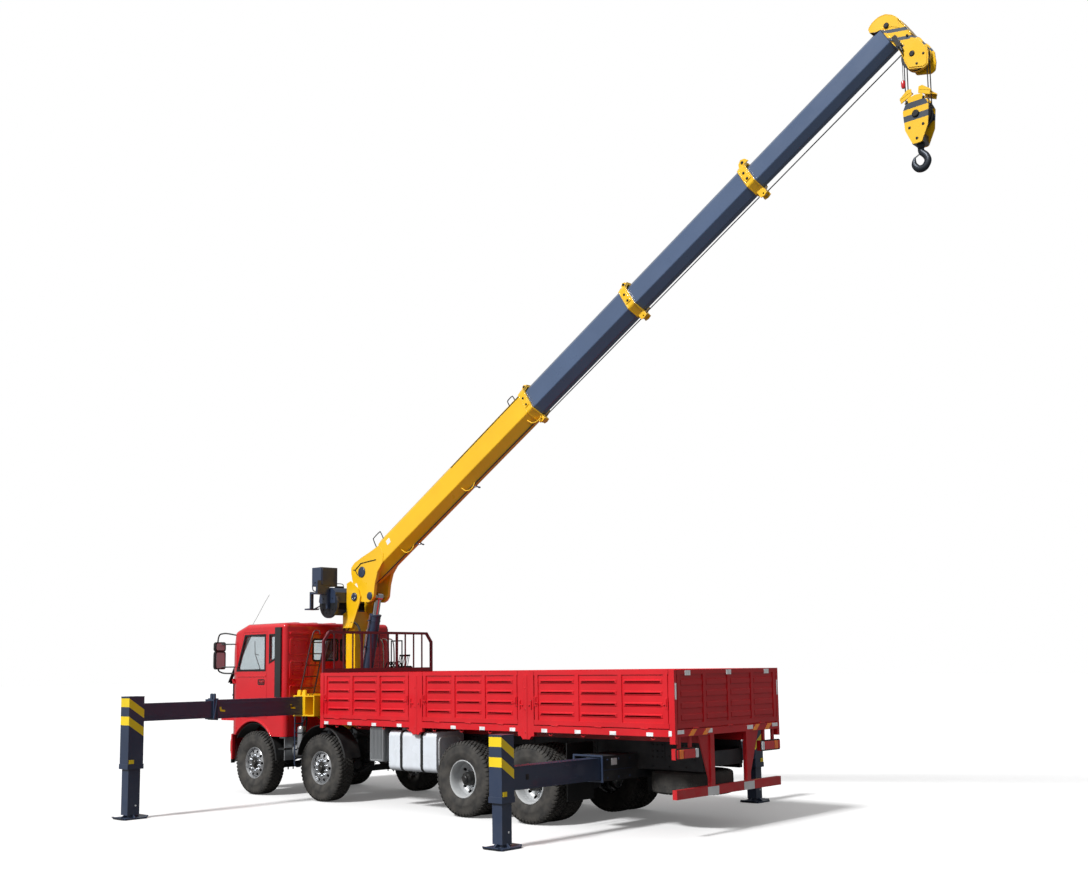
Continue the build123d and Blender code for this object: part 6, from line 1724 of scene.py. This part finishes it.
def dress_all(look):
    plain = {
        "chassis_frame": "frame", "axles": "frame", "powertrain": "dark_steel", "cab_shell": "red",
        "cab_glass": "glass", "cab_interior": "fabric", "steering_wheel": "black", "fuel_tank": "tank",
        "side_equipment": "alloy", "cargo_bed": "bed_red", "headboard": "headboard",
        "spare_wheel": "tyre", "slew_column": "yellow", "winch": "slate", "operator_seat": "slate",
        "luff_barrel": "slate", "luff_rod": "rod", "boom_base": "yellow", "boom_section_4": "boom_slate",
        "tailgate": "gate_red", "hook": "hook",
    }
    for node, name in plain.items():
        dress(node, look[name])
    trim = paint("cab_trim_finish", "#CE1220", 0.32, coat=0.6, shade=0.08, relief=0.03,
                 zones=[("#17191B", [((0, 0, 1), 1.70, 4.0)]), ("#17191B", [((0, 0, 1), 0.50, 0.60)])], dust=0.12)
    dress("cab_trim", trim)
    bands = paint("underrun_bands", "#C81420", 0.42, coat=0.3, shade=0.10, relief=0.06, dust=0.25,
                  zones=[("#E6E8EA", [((0, 1, 0), side * 0.43 - 0.13, side * 0.43 + 0.13), ((0, 0, 1), 0.4, 0.62)])
                         for side in (-1, 1)])
    dress("underrun_bar", bands)
    base = paint("crane_base_finish", "#F2BE12", 0.36, coat=0.4, shade=0.08, relief=0.05, worn=("#C48A10", 0.004),
                 dust=0.15, zones=[("#3A0E16", [((1, 0, 0), -1.03, -0.95), ((0, 0, 1), 1.785, 3.1)]),
                                   ("#24282D", [((0, 1, 0), -1.09, -0.69), ((0, 0, 1), 1.84, 3.0)])])
    dress("crane_base", base)
    for number, end in ((2, 7.610), (3, 10.080)):
        collar = paint(f"boom_section_{number}_finish", "#4A5D7C", 0.33, coat=0.5, shade=0.08, relief=0.05,
                       zones=[("#F2BE12", [(tuple(ALONG), boom(end - 0.138, 0).dot(ALONG),
                                            boom(end + 0.04, 0).dot(ALONG))])])
        dress(f"boom_section_{number}", collar)
    head = paint("boom_head_finish", "#F2BE12", 0.34, coat=0.5, shade=0.07, relief=0.05,
                 zones=HEAD_BANDS)
    dress("boom_head", head)
    z = boom(*HEAD_SHEAVE).z - 0.54
    block = paint("hook_block_finish", "#F2BE12", 0.34, coat=0.5, shade=0.07, relief=0.05,
                  zones=[("#3A434F", [((0, 0, 1), z - 0.155, z - 0.075)]), ("#3A434F", [((0, 0, 1), z - 0.315, z - 0.235)]),
                         ("#2A2C2F", [((0, 1, 0), -0.085, 0.085)])])
    dress("hook_block", block)
    for name, side in SIDES:
        dress(f"door_{name}", look["red"])
        dress(f"door_glass_{name}", look["glass"])
        for number in (1, 2, 3):
            dress(f"side_panel_{name}_{number}", look["bed_red"])
        for number in (1, 2):
            dress(f"knuckle_{number}_{name}", look["hub"])
        for number in (1, 2, 3, 4):
            dress(f"wheel_{number}_{name}", look["tyre"])
        for where, parts in (("front", ("stage", "leg", "jack")), ("rear", ("leg", "jack"))):
            for part in parts:
                dress(f"outrigger_{where}_{name}_{part}", look["slate"])
        for where, y, top, depth, half in (("front", 4.345, 1.84, 0.30, 0.125), ("rear", 3.05, 1.385, 0.27, 0.110)):
            striped = paint(f"leg_stripes_{where}_{name}", "#2B3850", 0.42, coat=0.35, shade=0.12, relief=0.06,
                            dust=0.06, zones=leg_bands(side * y, top, depth, half))
            dress(f"outrigger_{where}_{name}_leg", striped)


place_camera()
place_light()
place_floor()
looks = make_looks()
dress_all(looks)
build_wheels(looks)
build_cab(looks)
build_chassis(looks)
build_bed(looks)
build_boom(looks)
build_head(looks)
build_hook(looks)
build_crane(looks)
build_outriggers(looks)
bpy.context.scene.view_settings.view_transform = "Standard"

bpy.context.view_layer.update()
